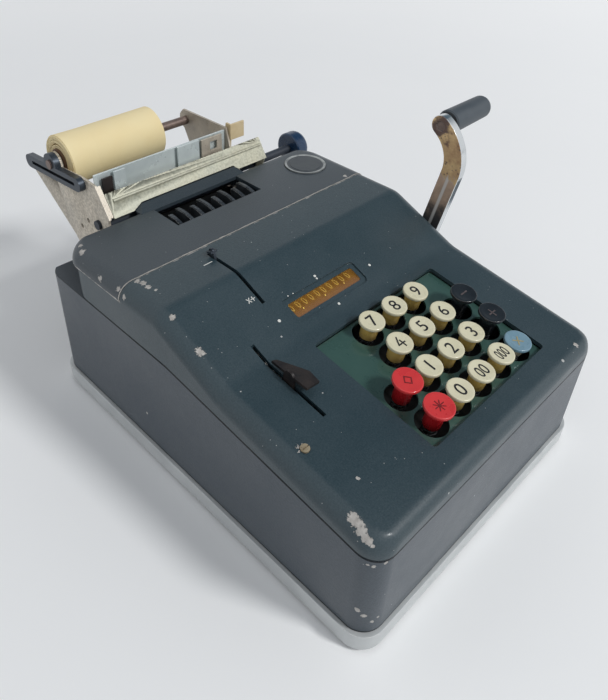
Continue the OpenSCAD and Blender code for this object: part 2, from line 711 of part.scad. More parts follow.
// Levers in the slots
lever_t = 1.4;
lever_a_reach = deck_z - pin_a[1] + 7;
lever_b_reach = slope_foot_z - pin_b[1] + 5.5;
module lever_arm(at, x, angle, reach, w) {
    side_plate(x - lever_t / 2, x + lever_t / 2)
        translate(at) rotate(angle) difference() {
            union() {
                circle(6);
                translate([-w / 2, 0]) square([w, reach - w / 2]);
                translate([0, reach - w / 2]) circle(w / 2);
            }
            circle(pin_r + fit);
        }
}
lever_a_angle = -16;
lever_b_angle = 3;
module correction_lever() {
    color("dimgray") {
        lever_arm(pin_a, lever_a[0], lever_a_angle, lever_a_reach, 4);
        translate([lever_a[0], pin_a[0], pin_a[1]]) rotate([lever_a_angle, 0, 0])
            translate([-2.2, -2, lever_a_reach - 2.5]) cube([4.4, 4, 1.2]);
    }
}
module function_lever() {
    color("saddlebrown") {
        lever_arm(pin_b, lever_b[0], lever_b_angle, lever_b_reach, 7);
        // finger tab, folded over to the right and pointed
        translate([lever_b[0], pin_b[0], pin_b[1]]) rotate([lever_b_angle, 0, 0])
            translate([0, 0, lever_b_reach - 3]) rotate([0, 8, 0]) linear_extrude(1.4)
                polygon([[-0.7, -12], [-0.7, 12], [2, 11], [9.5, -4], [8, -12]]);
    }
}

// Crank and main shaft
grip_yz = [shaft_y - crank_lean, shaft_z + crank_rise];
elbow = [shaft_y - elbow_lean, shaft_z + elbow_rise];
hub_r = 11;
spring_l = 20;
module main_shaft() {
    color("silver") {
        x_rod(-frame_x - frame_t - 6, arm_x0 + arm_t, shaft_y, shaft_z, shaft_r);
        x_rod(arm_x0, arm_x0 + arm_t + 6, shaft_y, shaft_z, shaft_r - 1);
        // collar beside the left bush, and the one that holds the spring
        x_rod(-frame_x + 3 + gap, -frame_x + 8, shaft_y, shaft_z, shaft_r + 3);
        x_rod(frame_x - spring_l - 9, frame_x - spring_l - 4.2, shaft_y, shaft_z, shaft_r + 4);
    }
}
module on_grip() {
    translate([arm_x0 + arm_t, grip_yz[0], grip_yz[1]]) rotate([0, -grip_tilt, 0]) children();
}
module arm_outline() {
    d = unit(elbow - [shaft_y, shaft_z]);
    n = right_of(d);
    g = grip_yz - elbow;
    bend = (g * g) / (2 * (g * n));
    c = elbow + bend * n;
    a0 = atan2(elbow[1] - c[1], elbow[0] - c[0]);
    a1 = atan2(grip_yz[1] - c[1], grip_yz[0] - c[0]);
    a2 = a0 < 0 ? a0 + 360 : a0;
    h = arm_w / 2;
    translate([shaft_y, shaft_z]) circle(hub_r);
    polygon([[shaft_y, shaft_z] - h * n, elbow - h * n, elbow + h * n, [shaft_y, shaft_z] + h * n]);
    translate(grip_yz) circle(h);
    intersection() {
        translate(c) difference() {
            circle(bend + h, $fn = 96);
            circle(bend - h, $fn = 96);
        }
        polygon([c, c + 2 * bend * [cos(a2), sin(a2)],
                 c + 2.4 * bend * [cos((a1 + a2) / 2), sin((a1 + a2) / 2)],
                 c + 2 * bend * [cos(a1), sin(a1)]]);
    }
}
module crank_arm() {
    color("lightgray") difference() {
        union() {
            side_plate(arm_x0, arm_x0 + arm_t) arm_outline();
            x_rod(case_hw + case_inset + gap, arm_x0 + 1, shaft_y, shaft_z, hub_r - 2);
        }
        x_rod(0, arm_x0 + arm_t + 10, shaft_y, shaft_z, shaft_r + 0.02);
        on_grip() x_rod(-20, 20, 0, 0, 3.02);
    }
}
module crank_nut() {
    color("silver") difference() {
        translate([arm_x0 + arm_t, shaft_y, shaft_z]) rotate([0, 90, 0])
            cylinder(r = 8, h = 5, $fn = 6);
        x_rod(0, arm_x0 + arm_t + 10, shaft_y, shaft_z, shaft_r - 1 + 0.02);
    }
}
module grip_pin() {
    color("silver") on_grip() {
        x_rod(-4.5, grip_start + grip_l - 8, 0, 0, 3);
        x_rod(0.8, grip_start - gap, 0, 0, 5);
    }
}
module crank_grip() {
    color("darkslategray") on_grip() difference() {
        translate([grip_start, 0, 0]) rotate([0, 90, 0]) rotate_extrude()
            turned_profile(grip_r, grip_end_r, grip_l, grip_edge);
        x_rod(grip_start - 1, grip_start + grip_l - 7, 0, 0, 3 + fit);
    }
}
module crank_spring() {
    w = 0.9;
    r = shaft_r + 3;
    h = spring_l - w - gap;
    echo(str("crank spring: least gap to itself ", coil_gap(r, w, h, 6), " mm"));
    color("silver") translate([frame_x - 3 - spring_l, shaft_y, shaft_z]) rotate([0, 90, 0])
        coil(r, w, h, 6, 6);
}

// Gears: an involute tooth space repeated round a blank
function involute(rb, t) = rb * [cos(t) + t * PI / 180 * sin(t), sin(t) - t * PI / 180 * cos(t)];
function turned(p, a) = [p[0] * cos(a) - p[1] * sin(a), p[0] * sin(a) + p[1] * cos(a)];
// One side of a tooth from root to tip, and the tooth that it makes
function gear_points(m, z, phase) =
    let (
        rp = m * z / 2, rb = rp * cos(20), ra = rp + 0.95 * m, rr = rp - 1.2 * m,
        tp = sqrt(rp * rp / (rb * rb) - 1) * 180 / PI,
        ta = sqrt(ra * ra / (rb * rb) - 1) * 180 / PI,
        at_pitch = let (p = involute(rb, tp)) atan2(p[1], p[0]),
        half = 90 / z - 0.05 * m / rp * 180 / PI * 0.7,
        side = [for (i = [0:4]) turned(involute(rb, ta * i / 4), -half - at_pitch)],
        low = turned([min(rr, rb - 0.1), 0], -half - at_pitch),
        tooth = concat([low], side, [for (i = [4:-1:0]) [side[i][0], -side[i][1]]], [[low[0], -low[1]]])
    )
    [for (k = [0:z - 1]) for (p = tooth) turned(p, phase + 360 * k / z)];
gear_x = -60;
gear_t = 6;
module gear(z, phase, y, bore) {
    translate([gear_x, y, shaft_z]) rotate([90, 0, 90]) difference() {
        linear_extrude(gear_t) polygon(gear_points(gear_m, z, phase));
        translate([0, 0, -1]) cylinder(r = bore + 0.02, h = gear_t + 2);
    }
}
module drive_gear() { color("silver") gear(drive_teeth, 0, shaft_y, shaft_r); }
module cam_gear() { color("goldenrod") gear(cam_teeth, 180 + 180 / cam_teeth, cam_y, cam_r); }
module cam_shaft() {
    color("silver") {
        x_rod(-frame_x - frame_t - 2, frame_x + frame_t + 2, cam_y, shaft_z, cam_r);
        for (i = [0:2])
            x_rod(-20 + 30 * i, -15 + 30 * i, cam_y + 4 * cos(120 * i), shaft_z + 4 * sin(120 * i), 11);
    }
}

// Register
module number_wheels() {
    x0 = reg_x - wheel_count * wheel_pitch / 2;
    color("ivory")
        for (i = [0:wheel_count - 1])
            translate([x0 + i * wheel_pitch, wheel_axis[0], wheel_axis[1]]) rotate([0, 90, 0])
                difference() {
                    union() {
                        cylinder(r = wheel_r, h = wheel_pitch - 0.8);
                        cylinder(r = 5, h = wheel_pitch - 0.2);
                    }
                    translate([0, 0, -1]) cylinder(r = wheel_bore + fit, h = wheel_pitch + 2);
                    translate([0, 0, 1.2]) difference() {
                        cylinder(r = wheel_r - 2, h = wheel_pitch);
                        cylinder(r = 5, h = wheel_pitch);
                    }
                }
}

// Printing works
module type_segment(x, lift) {
    side_plate(x, x + type_t) translate(type_axis) rotate(lift) difference() {
        union() {
            circle(6);
            difference() {
                intersection() {
                    circle(type_r - 1, $fn = 96);
                    polygon([[0, 0], 50 * [sin(12), cos(12)], 50 * [-sin(28), cos(28)]]);
                }
                intersection() {
                    circle(type_r - 10);
                    polygon([[0, 0], 50 * [sin(3), cos(3)], 50 * [sin(20), cos(20)]]);
                }
                intersection() {
                    circle(type_r - 10);
                    polygon([[0, 0], 50 * [-sin(14), cos(14)], 50 * [-sin(36), cos(36)]]);
                }
            }
        }
        circle(type_bore + fit);
    }
}
type_pitch = type_w / type_count;
function type_place(i) = type_x - type_w / 2 + type_pitch * (i + 0.5) - type_t / 2;
module type_segments_raised() {
    color("dimgray") for (i = [0, 2, 4, 6]) if (i < type_count) type_segment(type_place(i), 8);
}
module type_segments_resting() {
    color("dimgray") for (i = [1, 3, 5, 7]) if (i < type_count) type_segment(type_place(i), 0);
}

// Paper unit on the shelf behind the covers
bar_y = lid_y1 + 0.5;
bar_z = deck_z + lid_proud + 0.2;
bar_back = bar_y + bracket_t;
bar_x0 = bracket_left_x + 2.2;
bar_x1 = bar_x0 + bar_w;
notch_x0 = bar_x0 + 13.6;
notch_x1 = bar_x0 + 97.4;
notch_h = 3.4;
// Point at a height along the bar's face and a depth behind it
function bar_at(h, t = 0) = [bar_y + h * sin(bar_lean) + t * cos(bar_lean),
                             bar_z + h * cos(bar_lean) - t * sin(bar_lean)];
module on_bar() {
    translate([0, bar_y, bar_z]) rotate([-bar_lean, 0, 0]) children();
}
platen_y = bar_back + platen_set;
platen_z = deck_z - platen_drop;
platen_axle_r = 3;
bail_pin_r = 1.5;
bail_axis = [bar_back + 10.5, platen_z + 16];
table_y = bar_back + 12.8;
foot_y = case_y1 + gap;
foot_z = seam_rear_z - 22.5;
foot_w = 16;
foot_rise = 19;
release_at = [bar_back + 14, platen_z + 15.5];
release_pin_r = 2;
// Foot turned in against the back of the casing
module bracket_foot(x, side) {
    translate([side > 0 ? x : x - foot_w, foot_y, foot_z]) cube([foot_w, bracket_t, foot_rise]);
}
module bracket_outline(tip) {
    difference() {
        union() {
            polygon(tip);
            translate([roll_y, roll_z]) circle(7);
        }
        translate([platen_y, platen_z]) circle(platen_axle_r + fit);
        translate([roll_y, roll_z]) circle(axle_r + press);
        translate(bail_axis) circle(bail_pin_r + fit);
    }
}
module left_bracket() {
    color("lightgray") difference() {
        side_plate(bracket_left_x - bracket_t, bracket_left_x) bracket_outline([
            [bar_back, seam_rear_z], [foot_y, seam_rear_z], [foot_y, foot_z], [foot_y + 2, foot_z],
            [foot_y + 22, seam_rear_z], [tip_y - 3, roll_z - 17.5], [tip_y, roll_z - 13.5],
            [tip_y, roll_z - 5.5], [foot_y + 2, roll_z + 1.5], bar_at(bar_h + 6), bar_at(0),
            [bar_back, bar_z - 1]]);
        for (p = [[2, 19], [11, 11], [-2, 8]])
            x_rod(bracket_left_x - 4, bracket_left_x + 2, foot_y + p[0], seam_rear_z + p[1], 1.6);
    }
    color("lightgray") {
        bracket_foot(bracket_left_x - eps, 1);
        // front edge turned in, with a tongue behind the tear bar
        on_bar() {
            translate([bracket_left_x - eps, 0, 1])
                cube([bar_x0 - gap - bracket_left_x + eps, bracket_t, bar_h + 4.5]);
            translate([bracket_left_x - eps, bracket_t + press, 1]) cube([12, bracket_t, bar_h - 3]);
            translate([bracket_left_x - eps, bracket_t - eps, 1])
                cube([1.5, press + 2 * eps, bar_h - 3]);
        }
    }
}
module right_bracket() {
    color("rosybrown") {
        side_plate(bracket_right_x, bracket_right_x + bracket_t) bracket_outline([
            [bar_back, seam_rear_z], [foot_y, seam_rear_z], [foot_y, foot_z], [foot_y + 2, foot_z],
            [roll_y + 2, roll_z - 7.5], [roll_y + 7, roll_z + 2.5], [roll_y + 3, roll_z + 7],
            [bar_back + 12, roll_z + 8], bar_at(bar_h, bracket_t + press),
            bar_at(0, bracket_t + press), [bar_back, bar_z - 3]]);
        x_rod(bracket_right_x + bracket_t, bracket_right_x + bracket_t + 4, release_at[0],
              release_at[1], release_pin_r);
        bracket_foot(bracket_right_x + eps, -1);
    }
}
cradle_t = 4;
cradle_r = 4.4;
cradle_a = [case_y1 + 3, roll_z - 2.5];
cradle_b = [tip_y - cradle_r, roll_z - 8];
module roll_cradle() {
    x = bracket_left_x - bracket_t;
    run = unit(cradle_b - cradle_a);
    color("darkslategray") side_plate(x - cradle_t, x) difference() {
        union() {
            bar_shape(cradle_a, cradle_b, cradle_r);
            translate([roll_y, roll_z]) circle(axle_r + 4);
        }
        translate([roll_y, roll_z]) circle(axle_r + press);
        bar_shape(cradle_a + 3 * run, cradle_b - 5 * run, 1.1);
    }
}
module tear_bar() {
    teeth = 60;
    pitch = bar_w / teeth;
    color("darkkhaki") {
        on_bar() {
            translate([0, bracket_t, 0]) rotate([90, 0, 0]) linear_extrude(bracket_t)
                polygon(concat(
                    [[bar_x0, 0], [notch_x0, 0], [notch_x0 + 7, notch_h], [notch_x1 - 3.5, notch_h],
                     [notch_x1, 0], [bar_x1, 0]],
                    [for (i = [0:teeth - 1]) each [[bar_x1 - pitch * i, bar_h - 0.5],
                                                   [bar_x1 - pitch * (i + 0.5), bar_h]]],
                    [[bar_x0, bar_h - 0.5]]));
            // bead along the front
            x_rod(bar_x0 + 3.5, bar_x1 - 2, 0, 0.65 * bar_h, 1);
        }
        // right end turned back, with the platen's bearing
        side_plate(bar_x1 - bracket_t, bar_x1) difference() {
            polygon([bar_at(0, bracket_t - eps), bar_at(bar_h - 2, bracket_t - eps),
                     [platen_y + 6, bar_z + 4], [platen_y + 8, platen_z], [platen_y + 5, platen_z - 7],
                     [platen_y - 6, platen_z - 7], [bar_back + 1, bar_z - 4]]);
            translate([platen_y, platen_z]) circle(platen_axle_r + fit);
        }
    }
}
module platen_roller() {
    color("dimgray") {
        x_rod(bracket_left_x + 1, bracket_right_x - 1, platen_y, platen_z, platen_r);
        x_rod(bracket_left_x - bracket_t - 2, knob_x + 6, platen_y, platen_z, platen_axle_r);
    }
}
knob_x = case_hw - 3;
module platen_knob() {
    color("black") translate([knob_x, platen_y, platen_z]) rotate([0, 90, 0]) difference() {
        rotate_extrude() turned_profile(knob_r, knob_r, knob_t, 5);
        translate([0, 0, -1]) cylinder(r = platen_axle_r + 0.02, h = 7);
    }
}
roll_x0 = bracket_left_x + 0.8;
module paper_roll() {
    color("khaki") difference() {
        x_rod(roll_x0 + 0.4, roll_x0 + 0.4 + roll_w, roll_y, roll_z, roll_r);
        x_rod(roll_x0 - 1, roll_x0 + roll_w + 4, roll_y, roll_z, spool_r + 0.02);
    }
}
module paper_spool() {
    color("saddlebrown") difference() {
        x_rod(roll_x0, roll_x0 + roll_w + 0.8, roll_y, roll_z, spool_r);
        x_rod(roll_x0 - 1, roll_x0 + roll_w + 4, roll_y, roll_z, axle_r + fit);
    }
}
module roll_axle() {
    color("dimgray")
        x_rod(bracket_left_x - bracket_t - 5, bracket_right_x + bracket_t + 3, roll_y, roll_z, axle_r);
}
module paper_table() {
    color("lightsteelblue") translate([bracket_left_x + 0.2, table_y, platen_z + 10.5])
        cube([bracket_right_x - bracket_left_x - 0.4, 1.2, 21]);
}
// Sheet standing on the bail's rod
module bail_sheet(x, w, h) {
    translate([x, bail_axis[0] - 0.4, bail_axis[1]]) cube([w, 1.2, h]);
}
module paper_bail() {
    color("gray") {
        x_rod(bracket_left_x + 0.5, bracket_right_x - 0.5, bail_axis[0], bail_axis[1], bail_pin_r + 0.2);
        x_rod(bracket_left_x - bracket_t, bracket_right_x + bracket_t, bail_axis[0], bail_axis[1],
              bail_pin_r);
        bail_sheet(bracket_left_x + 4, 7, 13);
        bail_sheet(bracket_left_x + 12, 8, 15);
        bail_sheet(bracket_right_x - 41, 17, 16);
        difference() {
            bail_sheet(bracket_right_x - 22, 17, 15);
            translate([bracket_right_x - 15, bail_axis[0] - 2, bail_axis[1] + 6]) cube([6, 5, 6]);
        }
    }
}
module release_lever() {
    x = bracket_right_x + bracket_t + gap;
    color("tan") {
        side_plate(x, x + 1.5) difference() {
            union() {
                translate(release_at) circle(4.5);
                translate(release_at) polygon([[-3.5, 0], [3, 0], [0, 20], [-5, 20]]);
            }
            translate(release_at) circle(release_pin_r + fit);
        }
        translate([x, release_at[0] - 5, release_at[1] + 9]) cube([12, 1.5, 11]);
    }
}

place() base_tray();
place() rubber_feet();
place() lower_shell();
place() front_cover();
place() rear_cover();
place() key_plate();
place() register_lens();
place() round_badge();
place() casing_screws();
place() key_guide_plate();
place() key_springs();
place() pin_carriage();
place() left_frame();
place() right_frame();
place() frame_rods();
place() fixed_shafts();
place() shaft_bushes();
place() correction_lever();
place() function_lever();
place() main_shaft();
place() drive_gear();
place() crank_arm();
place() crank_nut();
place() grip_pin();
place() crank_grip();
place() crank_spring();
place() cam_shaft();
place() cam_gear();
place() number_wheels();
place() type_segments_raised();
place() type_segments_resting();
place() left_bracket();
place() right_bracket();
place() roll_cradle();
place() tear_bar();
place() platen_roller();
place() platen_knob();
place() paper_roll();
place() paper_spool();
place() roll_axle();
place() paper_table();
place() paper_bail();
place() release_lever();
for (k = KEYS)
    place() key(k);
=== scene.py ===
# %% [markdown]
# # A hand-cranked printing calculator
# The machine stands on a pressed metal tray. Painted covers close over the works, a ten-key
# field lies in the slope in front, and a paper roll hangs behind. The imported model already
# holds every solid in its place, so it's loaded first and nothing in it is moved. What follows
# gives the solids their finishes and adds what is finer than a solid: figures, dust and wear.

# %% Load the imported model
import json
import math

import bmesh
import bpy
from mathutils import Matrix, Vector


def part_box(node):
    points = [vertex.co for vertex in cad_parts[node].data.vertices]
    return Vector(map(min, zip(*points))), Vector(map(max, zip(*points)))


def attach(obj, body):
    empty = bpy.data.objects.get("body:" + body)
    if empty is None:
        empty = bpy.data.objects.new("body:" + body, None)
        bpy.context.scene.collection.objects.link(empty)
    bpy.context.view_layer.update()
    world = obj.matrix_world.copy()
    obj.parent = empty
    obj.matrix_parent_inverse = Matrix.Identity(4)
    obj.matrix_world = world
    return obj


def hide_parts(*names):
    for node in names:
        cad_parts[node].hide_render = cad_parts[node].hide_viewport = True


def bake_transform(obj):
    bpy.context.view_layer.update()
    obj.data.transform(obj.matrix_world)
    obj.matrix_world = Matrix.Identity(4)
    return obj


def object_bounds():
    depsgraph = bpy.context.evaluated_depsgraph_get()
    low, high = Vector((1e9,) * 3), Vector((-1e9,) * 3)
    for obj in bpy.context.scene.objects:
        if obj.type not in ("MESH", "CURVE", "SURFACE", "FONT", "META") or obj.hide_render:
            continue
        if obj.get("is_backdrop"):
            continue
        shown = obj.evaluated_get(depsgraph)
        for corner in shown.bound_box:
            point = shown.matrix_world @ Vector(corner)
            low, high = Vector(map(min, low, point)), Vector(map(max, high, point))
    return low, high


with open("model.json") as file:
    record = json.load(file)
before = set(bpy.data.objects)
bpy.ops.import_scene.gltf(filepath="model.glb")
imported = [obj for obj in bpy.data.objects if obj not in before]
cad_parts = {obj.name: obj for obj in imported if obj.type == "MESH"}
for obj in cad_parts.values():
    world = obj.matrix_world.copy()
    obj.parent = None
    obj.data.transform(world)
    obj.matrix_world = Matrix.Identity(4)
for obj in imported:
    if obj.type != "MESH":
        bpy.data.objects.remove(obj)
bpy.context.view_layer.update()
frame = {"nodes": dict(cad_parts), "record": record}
nodes = frame["nodes"]
scene = bpy.context.scene

# %% [markdown]
# ## A ruler on the tray
# Sizes on this machine are easiest to read in millimetres from the tray: across from its middle,
# back from its front edge, and up from its underside. The frame itself is in metres from the
# middle of the whole outline. One small function turns the first into the second, so every
# later cell can speak in plain machine sizes. Three more turn a solid's box into its corners
# and its middle, and put a new thing in the scene.

# %% Places measured from the tray


def corners(box):
    return [Vector(corner) for corner in box]


def middle_of(box):
    return sum(corners(box), Vector()) / 2


def put(name, data):
    thing = bpy.data.objects.new(name, data)
    scene.collection.objects.link(thing)
    return thing


tray_low, tray_high = corners(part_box("base_tray"))
tray_front = Vector(((tray_low.x + tray_high.x) / 2, tray_low.y, tray_low.z))
MM = 0.001


def at(across, back, up):
    return tray_front + Vector((across, back, up)) * MM


print("tray", [round(v / MM, 1) for v in tray_high - tray_low], "mm")

# %% [markdown]
# ## The camera
# A camera could be pushed about until the picture looks right. Here it's placed by numbers that
# were fitted to known distances on the machine: the key pitch, the tray's edges and the seams.
# The lens is long enough to keep the sides nearly parallel, and a small shift puts the machine
# where the frame wants it.

# %% Camera
VIEW_WIDTH, VIEW_HEIGHT = 608, 700
FOCAL = 680.17
CENTRE = (288.8, 267.13)
azimuth, elevation, tilt = (math.radians(a) for a in (-46.05, 35.10, 2.03))
away = Vector((math.sin(azimuth) * math.cos(elevation),
               -math.cos(azimuth) * math.cos(elevation), math.sin(elevation)))
level = Vector((0, 0, 1)).cross(away).normalized()
rise = away.cross(level)
view_right = level * math.cos(tilt) + rise * math.sin(tilt)
view_up = away.cross(view_right)
eye = tray_low + Vector((-0.13663, -0.07590, 0.32511))

lens = bpy.data.cameras.new("camera")
lens.sensor_width = 36
lens.lens = FOCAL / VIEW_HEIGHT * lens.sensor_width
lens.shift_x = -(CENTRE[0] - VIEW_WIDTH / 2) / VIEW_HEIGHT
lens.shift_y = (CENTRE[1] - VIEW_HEIGHT / 2) / VIEW_HEIGHT
lens.clip_start = 0.01
camera = put("camera", lens)
camera.matrix_world = (Matrix.Translation(eye)
                       @ Matrix((view_right, view_up, away)).transposed().to_4x4())
scene.camera = camera
scene.view_settings.view_transform = "Standard"
print("camera stands", round((eye - at(0, 130, 60)).length, 3), "m from the machine")

# %% [markdown]
# ## Pixel to surface
# Chips and scratches belong where the eye sees them. A ray sent from the camera through a pixel
# finds the spot on the solids, and the spot is kept in metres, so the mark stays on the paint
# from every other side as well.

# %% Spots on the surface
bpy.context.view_layer.update()
solids = bpy.context.evaluated_depsgraph_get()


def under(u, v):
    """The spot under a pixel, with the way its surface faces."""
    ray = view_right * (u - CENTRE[0]) - view_up * (v - CENTRE[1]) - away * FOCAL
    hit, place, normal = scene.ray_cast(solids, eye, ray.normalized())[:3]
    return (place, normal) if hit else (None, None)


def spot(u, v):
    return under(u, v)[0]


print("corner chip at", [round(c, 4) for c in spot(361, 528)])

# %% [markdown]
# ## Floor and light
# The machine stands on a pale sheet in soft daylight. One lamp in front and above throws the
# shadows of the key tops back over the key plate, and a dim pale sky fills the rest. Both are
# kept low enough that a colour comes out about as it's written.

# %% Floor, sky and lamp


def mesh_of(name, points, faces, edges=()):
    mesh = bpy.data.meshes.new(name)
    mesh.from_pydata([tuple(p) for p in points], list(edges), faces)
    return mesh


FLOOR = 6.0
floor = put("floor", mesh_of("floor", [(-FLOOR, -FLOOR, 0), (FLOOR, -FLOOR, 0), (FLOOR, FLOOR, 0),
                                       (-FLOOR, FLOOR, 0)], [(0, 1, 2, 3)]))
floor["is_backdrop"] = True

lamp = bpy.data.lights.new("window", "AREA")
lamp.shape, lamp.size, lamp.energy = "DISK", 0.55, 46
window = put("window", lamp)
window_from = Vector((0.62, -2.1, 2.06))
window.matrix_world = (Matrix.Translation(window_from)
                       @ window_from.to_track_quat("Z", "Y").to_matrix().to_4x4())

sky = bpy.data.worlds.new("sky")
sky.use_nodes = True
scene.world = sky
print("lamp", round(window_from.length, 2), "m away")

# %% [markdown]
# ## Tools for finishes
# Every finish below is a small tree of nodes on Object coordinates. As all pieces stand at the
# origin, one pattern runs on unbroken from a cover to its neighbour. The class `Tree` makes a
# node, sets its values and joins its inputs in a single call. Masks are combined in plain words:
# `times` lets one through another, `most` lays them over each other, `rest` turns one round.

# %% Node helpers


class Tree:
    def __init__(self, tree):
        self.tree = tree

    def give(self, socket, value):
        if isinstance(value, bpy.types.NodeSocket):
            self.tree.links.new(value, socket)
        else:
            socket.default_value = value

    def add(self, kind, inputs=(), **settings):
        made = self.tree.nodes.new(kind)
        for name, value in settings.items():
            setattr(made, name, value)
        for socket, value in dict(inputs).items():
            self.give(made.inputs[socket], value)
        return made

    def calc(self, operation, a, b=0.0, clamp=False):
        return self.add("ShaderNodeMath", {0: a, 1: b}, operation=operation,
                        use_clamp=clamp).outputs[0]

    def plus(self, a, b):
        return self.calc("ADD", a, b)

    def minus(self, a, b):
        return self.calc("SUBTRACT", a, b)

    def times(self, a, b):
        return self.calc("MULTIPLY", a, b)

    def rest(self, value):
        return self.minus(1.0, value)

    def most(self, first, *others):
        for other in others:
            first = self.calc("MAXIMUM", first, other)
        return first

    def apart(self, a, b):
        return self.calc("ABSOLUTE", self.minus(a, b))

    def vector(self, operation, a, b=(0.0, 0.0, 0.0)):
        out = "Vector" if operation in ("SUBTRACT", "MULTIPLY") else "Value"
        return self.add("ShaderNodeVectorMath", {0: a, 1: b}, operation=operation).outputs[out]

    def part(self, vector, axis):
        return self.add("ShaderNodeSeparateXYZ", {0: vector}).outputs[axis]

    def whole(self, x, y, z):
        return self.add("ShaderNodeCombineXYZ", {0: x, 1: y, 2: z}).outputs[0]

    def mix(self, share, first, second):
        return self.add("ShaderNodeMix", {0: share, 6: first, 7: second},
                        data_type="RGBA").outputs[2]

    def ramp(self, value, low, high):
        return self.add("ShaderNodeMapRange", {0: value, 1: low, 2: high}, clamp=True,
                        interpolation_type="SMOOTHSTEP").outputs[0]

    def noise(self, place, scale, detail, roughness=0.5):
        return self.add("ShaderNodeTexNoise", {"Vector": place, "Scale": scale, "Detail": detail,
                                               "Roughness": roughness}).outputs[0]


print("node helpers ready")

# %% [markdown]
# ## Groups with named inputs
# An effect that many finishes share is a node group, and so is each shape that Geometry Nodes
# make. Both start alike: named inputs, where a word gives the kind and a number gives the kind
# and the default at once, and named outputs.

# %% Groups


def rgb(red, green, blue):
    return (red, green, blue, 1.0)


def kind_of(value):
    if isinstance(value, str):
        return value
    if isinstance(value, tuple):
        return "Vector" if len(value) == 3 else "Color"
    return "Int" if isinstance(value, int) else "Float"


class Group(Tree):
    def __init__(self, kind, name, inputs, *outputs):
        super().__init__(bpy.data.node_groups.new(name, kind + "NodeTree"))
        self.slots = {}
        for label, value in inputs.items():
            socket = self.tree.interface.new_socket(
                label, in_out="INPUT", socket_type="NodeSocket" + kind_of(value))
            if not isinstance(value, str):
                socket.default_value = value
            self.slots[label] = socket.identifier
        for label in outputs:
            word = {"Colour": "Color", "Mask": "Float"}.get(label, "Geometry")
            self.tree.interface.new_socket(label, in_out="OUTPUT", socket_type="NodeSocket" + word)
        self.given = self.tree.nodes.new("NodeGroupInput").outputs

    def hand_out(self, **results):
        end = self.tree.nodes.new("NodeGroupOutput")
        for label, value in results.items():
            self.tree.links.new(value, end.inputs[label])
        print(self.tree.name + ":", len(self.tree.nodes), "nodes")

    def shape(self, kind, inputs=()):
        return self.add("GeometryNode" + kind, inputs).outputs[0]

    def hand_out_shape(self, label, shape):
        """Real geometry in the given material."""
        real = self.shape("RealizeInstances", {"Geometry": shape})
        self.hand_out(**{label: self.shape("SetMaterial", {
            "Geometry": real, "Material": self.given["Surface"]})})


print("groups ready")

# %% [markdown]
# ## Effects shared by the finishes
# Old paint, plate and plastic differ in colour, yet the way they age is the same. Mottle varies
# a colour in soft patches. Specks are the dust and pin-sized nicks that lie on everything.
# Worn edge takes the mask that a piece carries along its bent edges and frays it with noise.
# A chip is a ragged patch at one place. Each is a node group, so that one change serves all.

# %% Mottle
ORIGIN = (0.0, 0.0, 0.0)
mottle = Group("Shader", "mottle", {
    "Place": ORIGIN, "Scale": 60.0, "Contrast": 1.0, "First colour": rgb(0.1, 0.1, 0.1),
    "Second colour": rgb(0.2, 0.2, 0.2)}, "Colour", "Mask")
given = mottle.given
cloud = mottle.noise(given["Place"], given["Scale"], 6.0, 0.6)
stretched = mottle.times(mottle.minus(cloud, 0.5), given["Contrast"])
patches = mottle.calc("ADD", stretched, 0.5, clamp=True)
mottle.hand_out(Colour=mottle.mix(patches, given["First colour"], given["Second colour"]),
                Mask=patches)

# %% Specks
specks = Group("Shader", "specks", {
    "Place": ORIGIN, "Scale": 220.0, "Size": 0.12, "Share": 0.2}, "Mask")
given = specks.given
cells = specks.add("ShaderNodeTexVoronoi", {"Vector": given["Place"], "Scale": given["Scale"]})
near = specks.calc("LESS_THAN", cells.outputs["Distance"], given["Size"])
chosen = specks.add("ShaderNodeSeparateColor", {0: cells.outputs["Color"]}).outputs[0]
specks.hand_out(Mask=specks.times(near, specks.calc("LESS_THAN", chosen, given["Share"])))

# %% Worn edge
worn_edge = Group("Shader", "worn edge", {
    "Place": ORIGIN, "Edge": 0.0, "Scale": 90.0, "Amount": 0.5}, "Mask")
given = worn_edge.given
fray = worn_edge.noise(given["Place"], given["Scale"], 5.0, 0.7)
reach = worn_edge.plus(given["Edge"], worn_edge.minus(fray, 1.0))
level_of = worn_edge.plus(reach, worn_edge.minus(given["Amount"], 0.5))
worn_edge.hand_out(Mask=worn_edge.ramp(level_of, 0.42, 0.55))

# %% Chip
chip = Group("Shader", "chip", {
    "Place": ORIGIN, "Centre": ORIGIN, "Radius": 0.003, "Ragged": 0.6}, "Mask")
given = chip.given
torn = chip.minus(chip.noise(given["Place"], 480.0, 8.0, 0.75), 0.5)
gone = chip.vector("DISTANCE", given["Place"], given["Centre"])
frayed = chip.plus(chip.calc("DIVIDE", gone, given["Radius"]),
                   chip.times(torn, chip.times(given["Ragged"], 4.0)))
chip.hand_out(Mask=chip.rest(chip.ramp(frayed, 0.9, 1.0)))

# %% [markdown]
# ## Wear along a seam
# Paint rubs off first where two covers meet, since the upper one is lifted and dropped again.
# A seam of this machine lies in one plane, so a plane and the side where it ends are all that
# the effect needs: the nearer a point is to it, the barer the metal, and noise makes the line
# come and go.

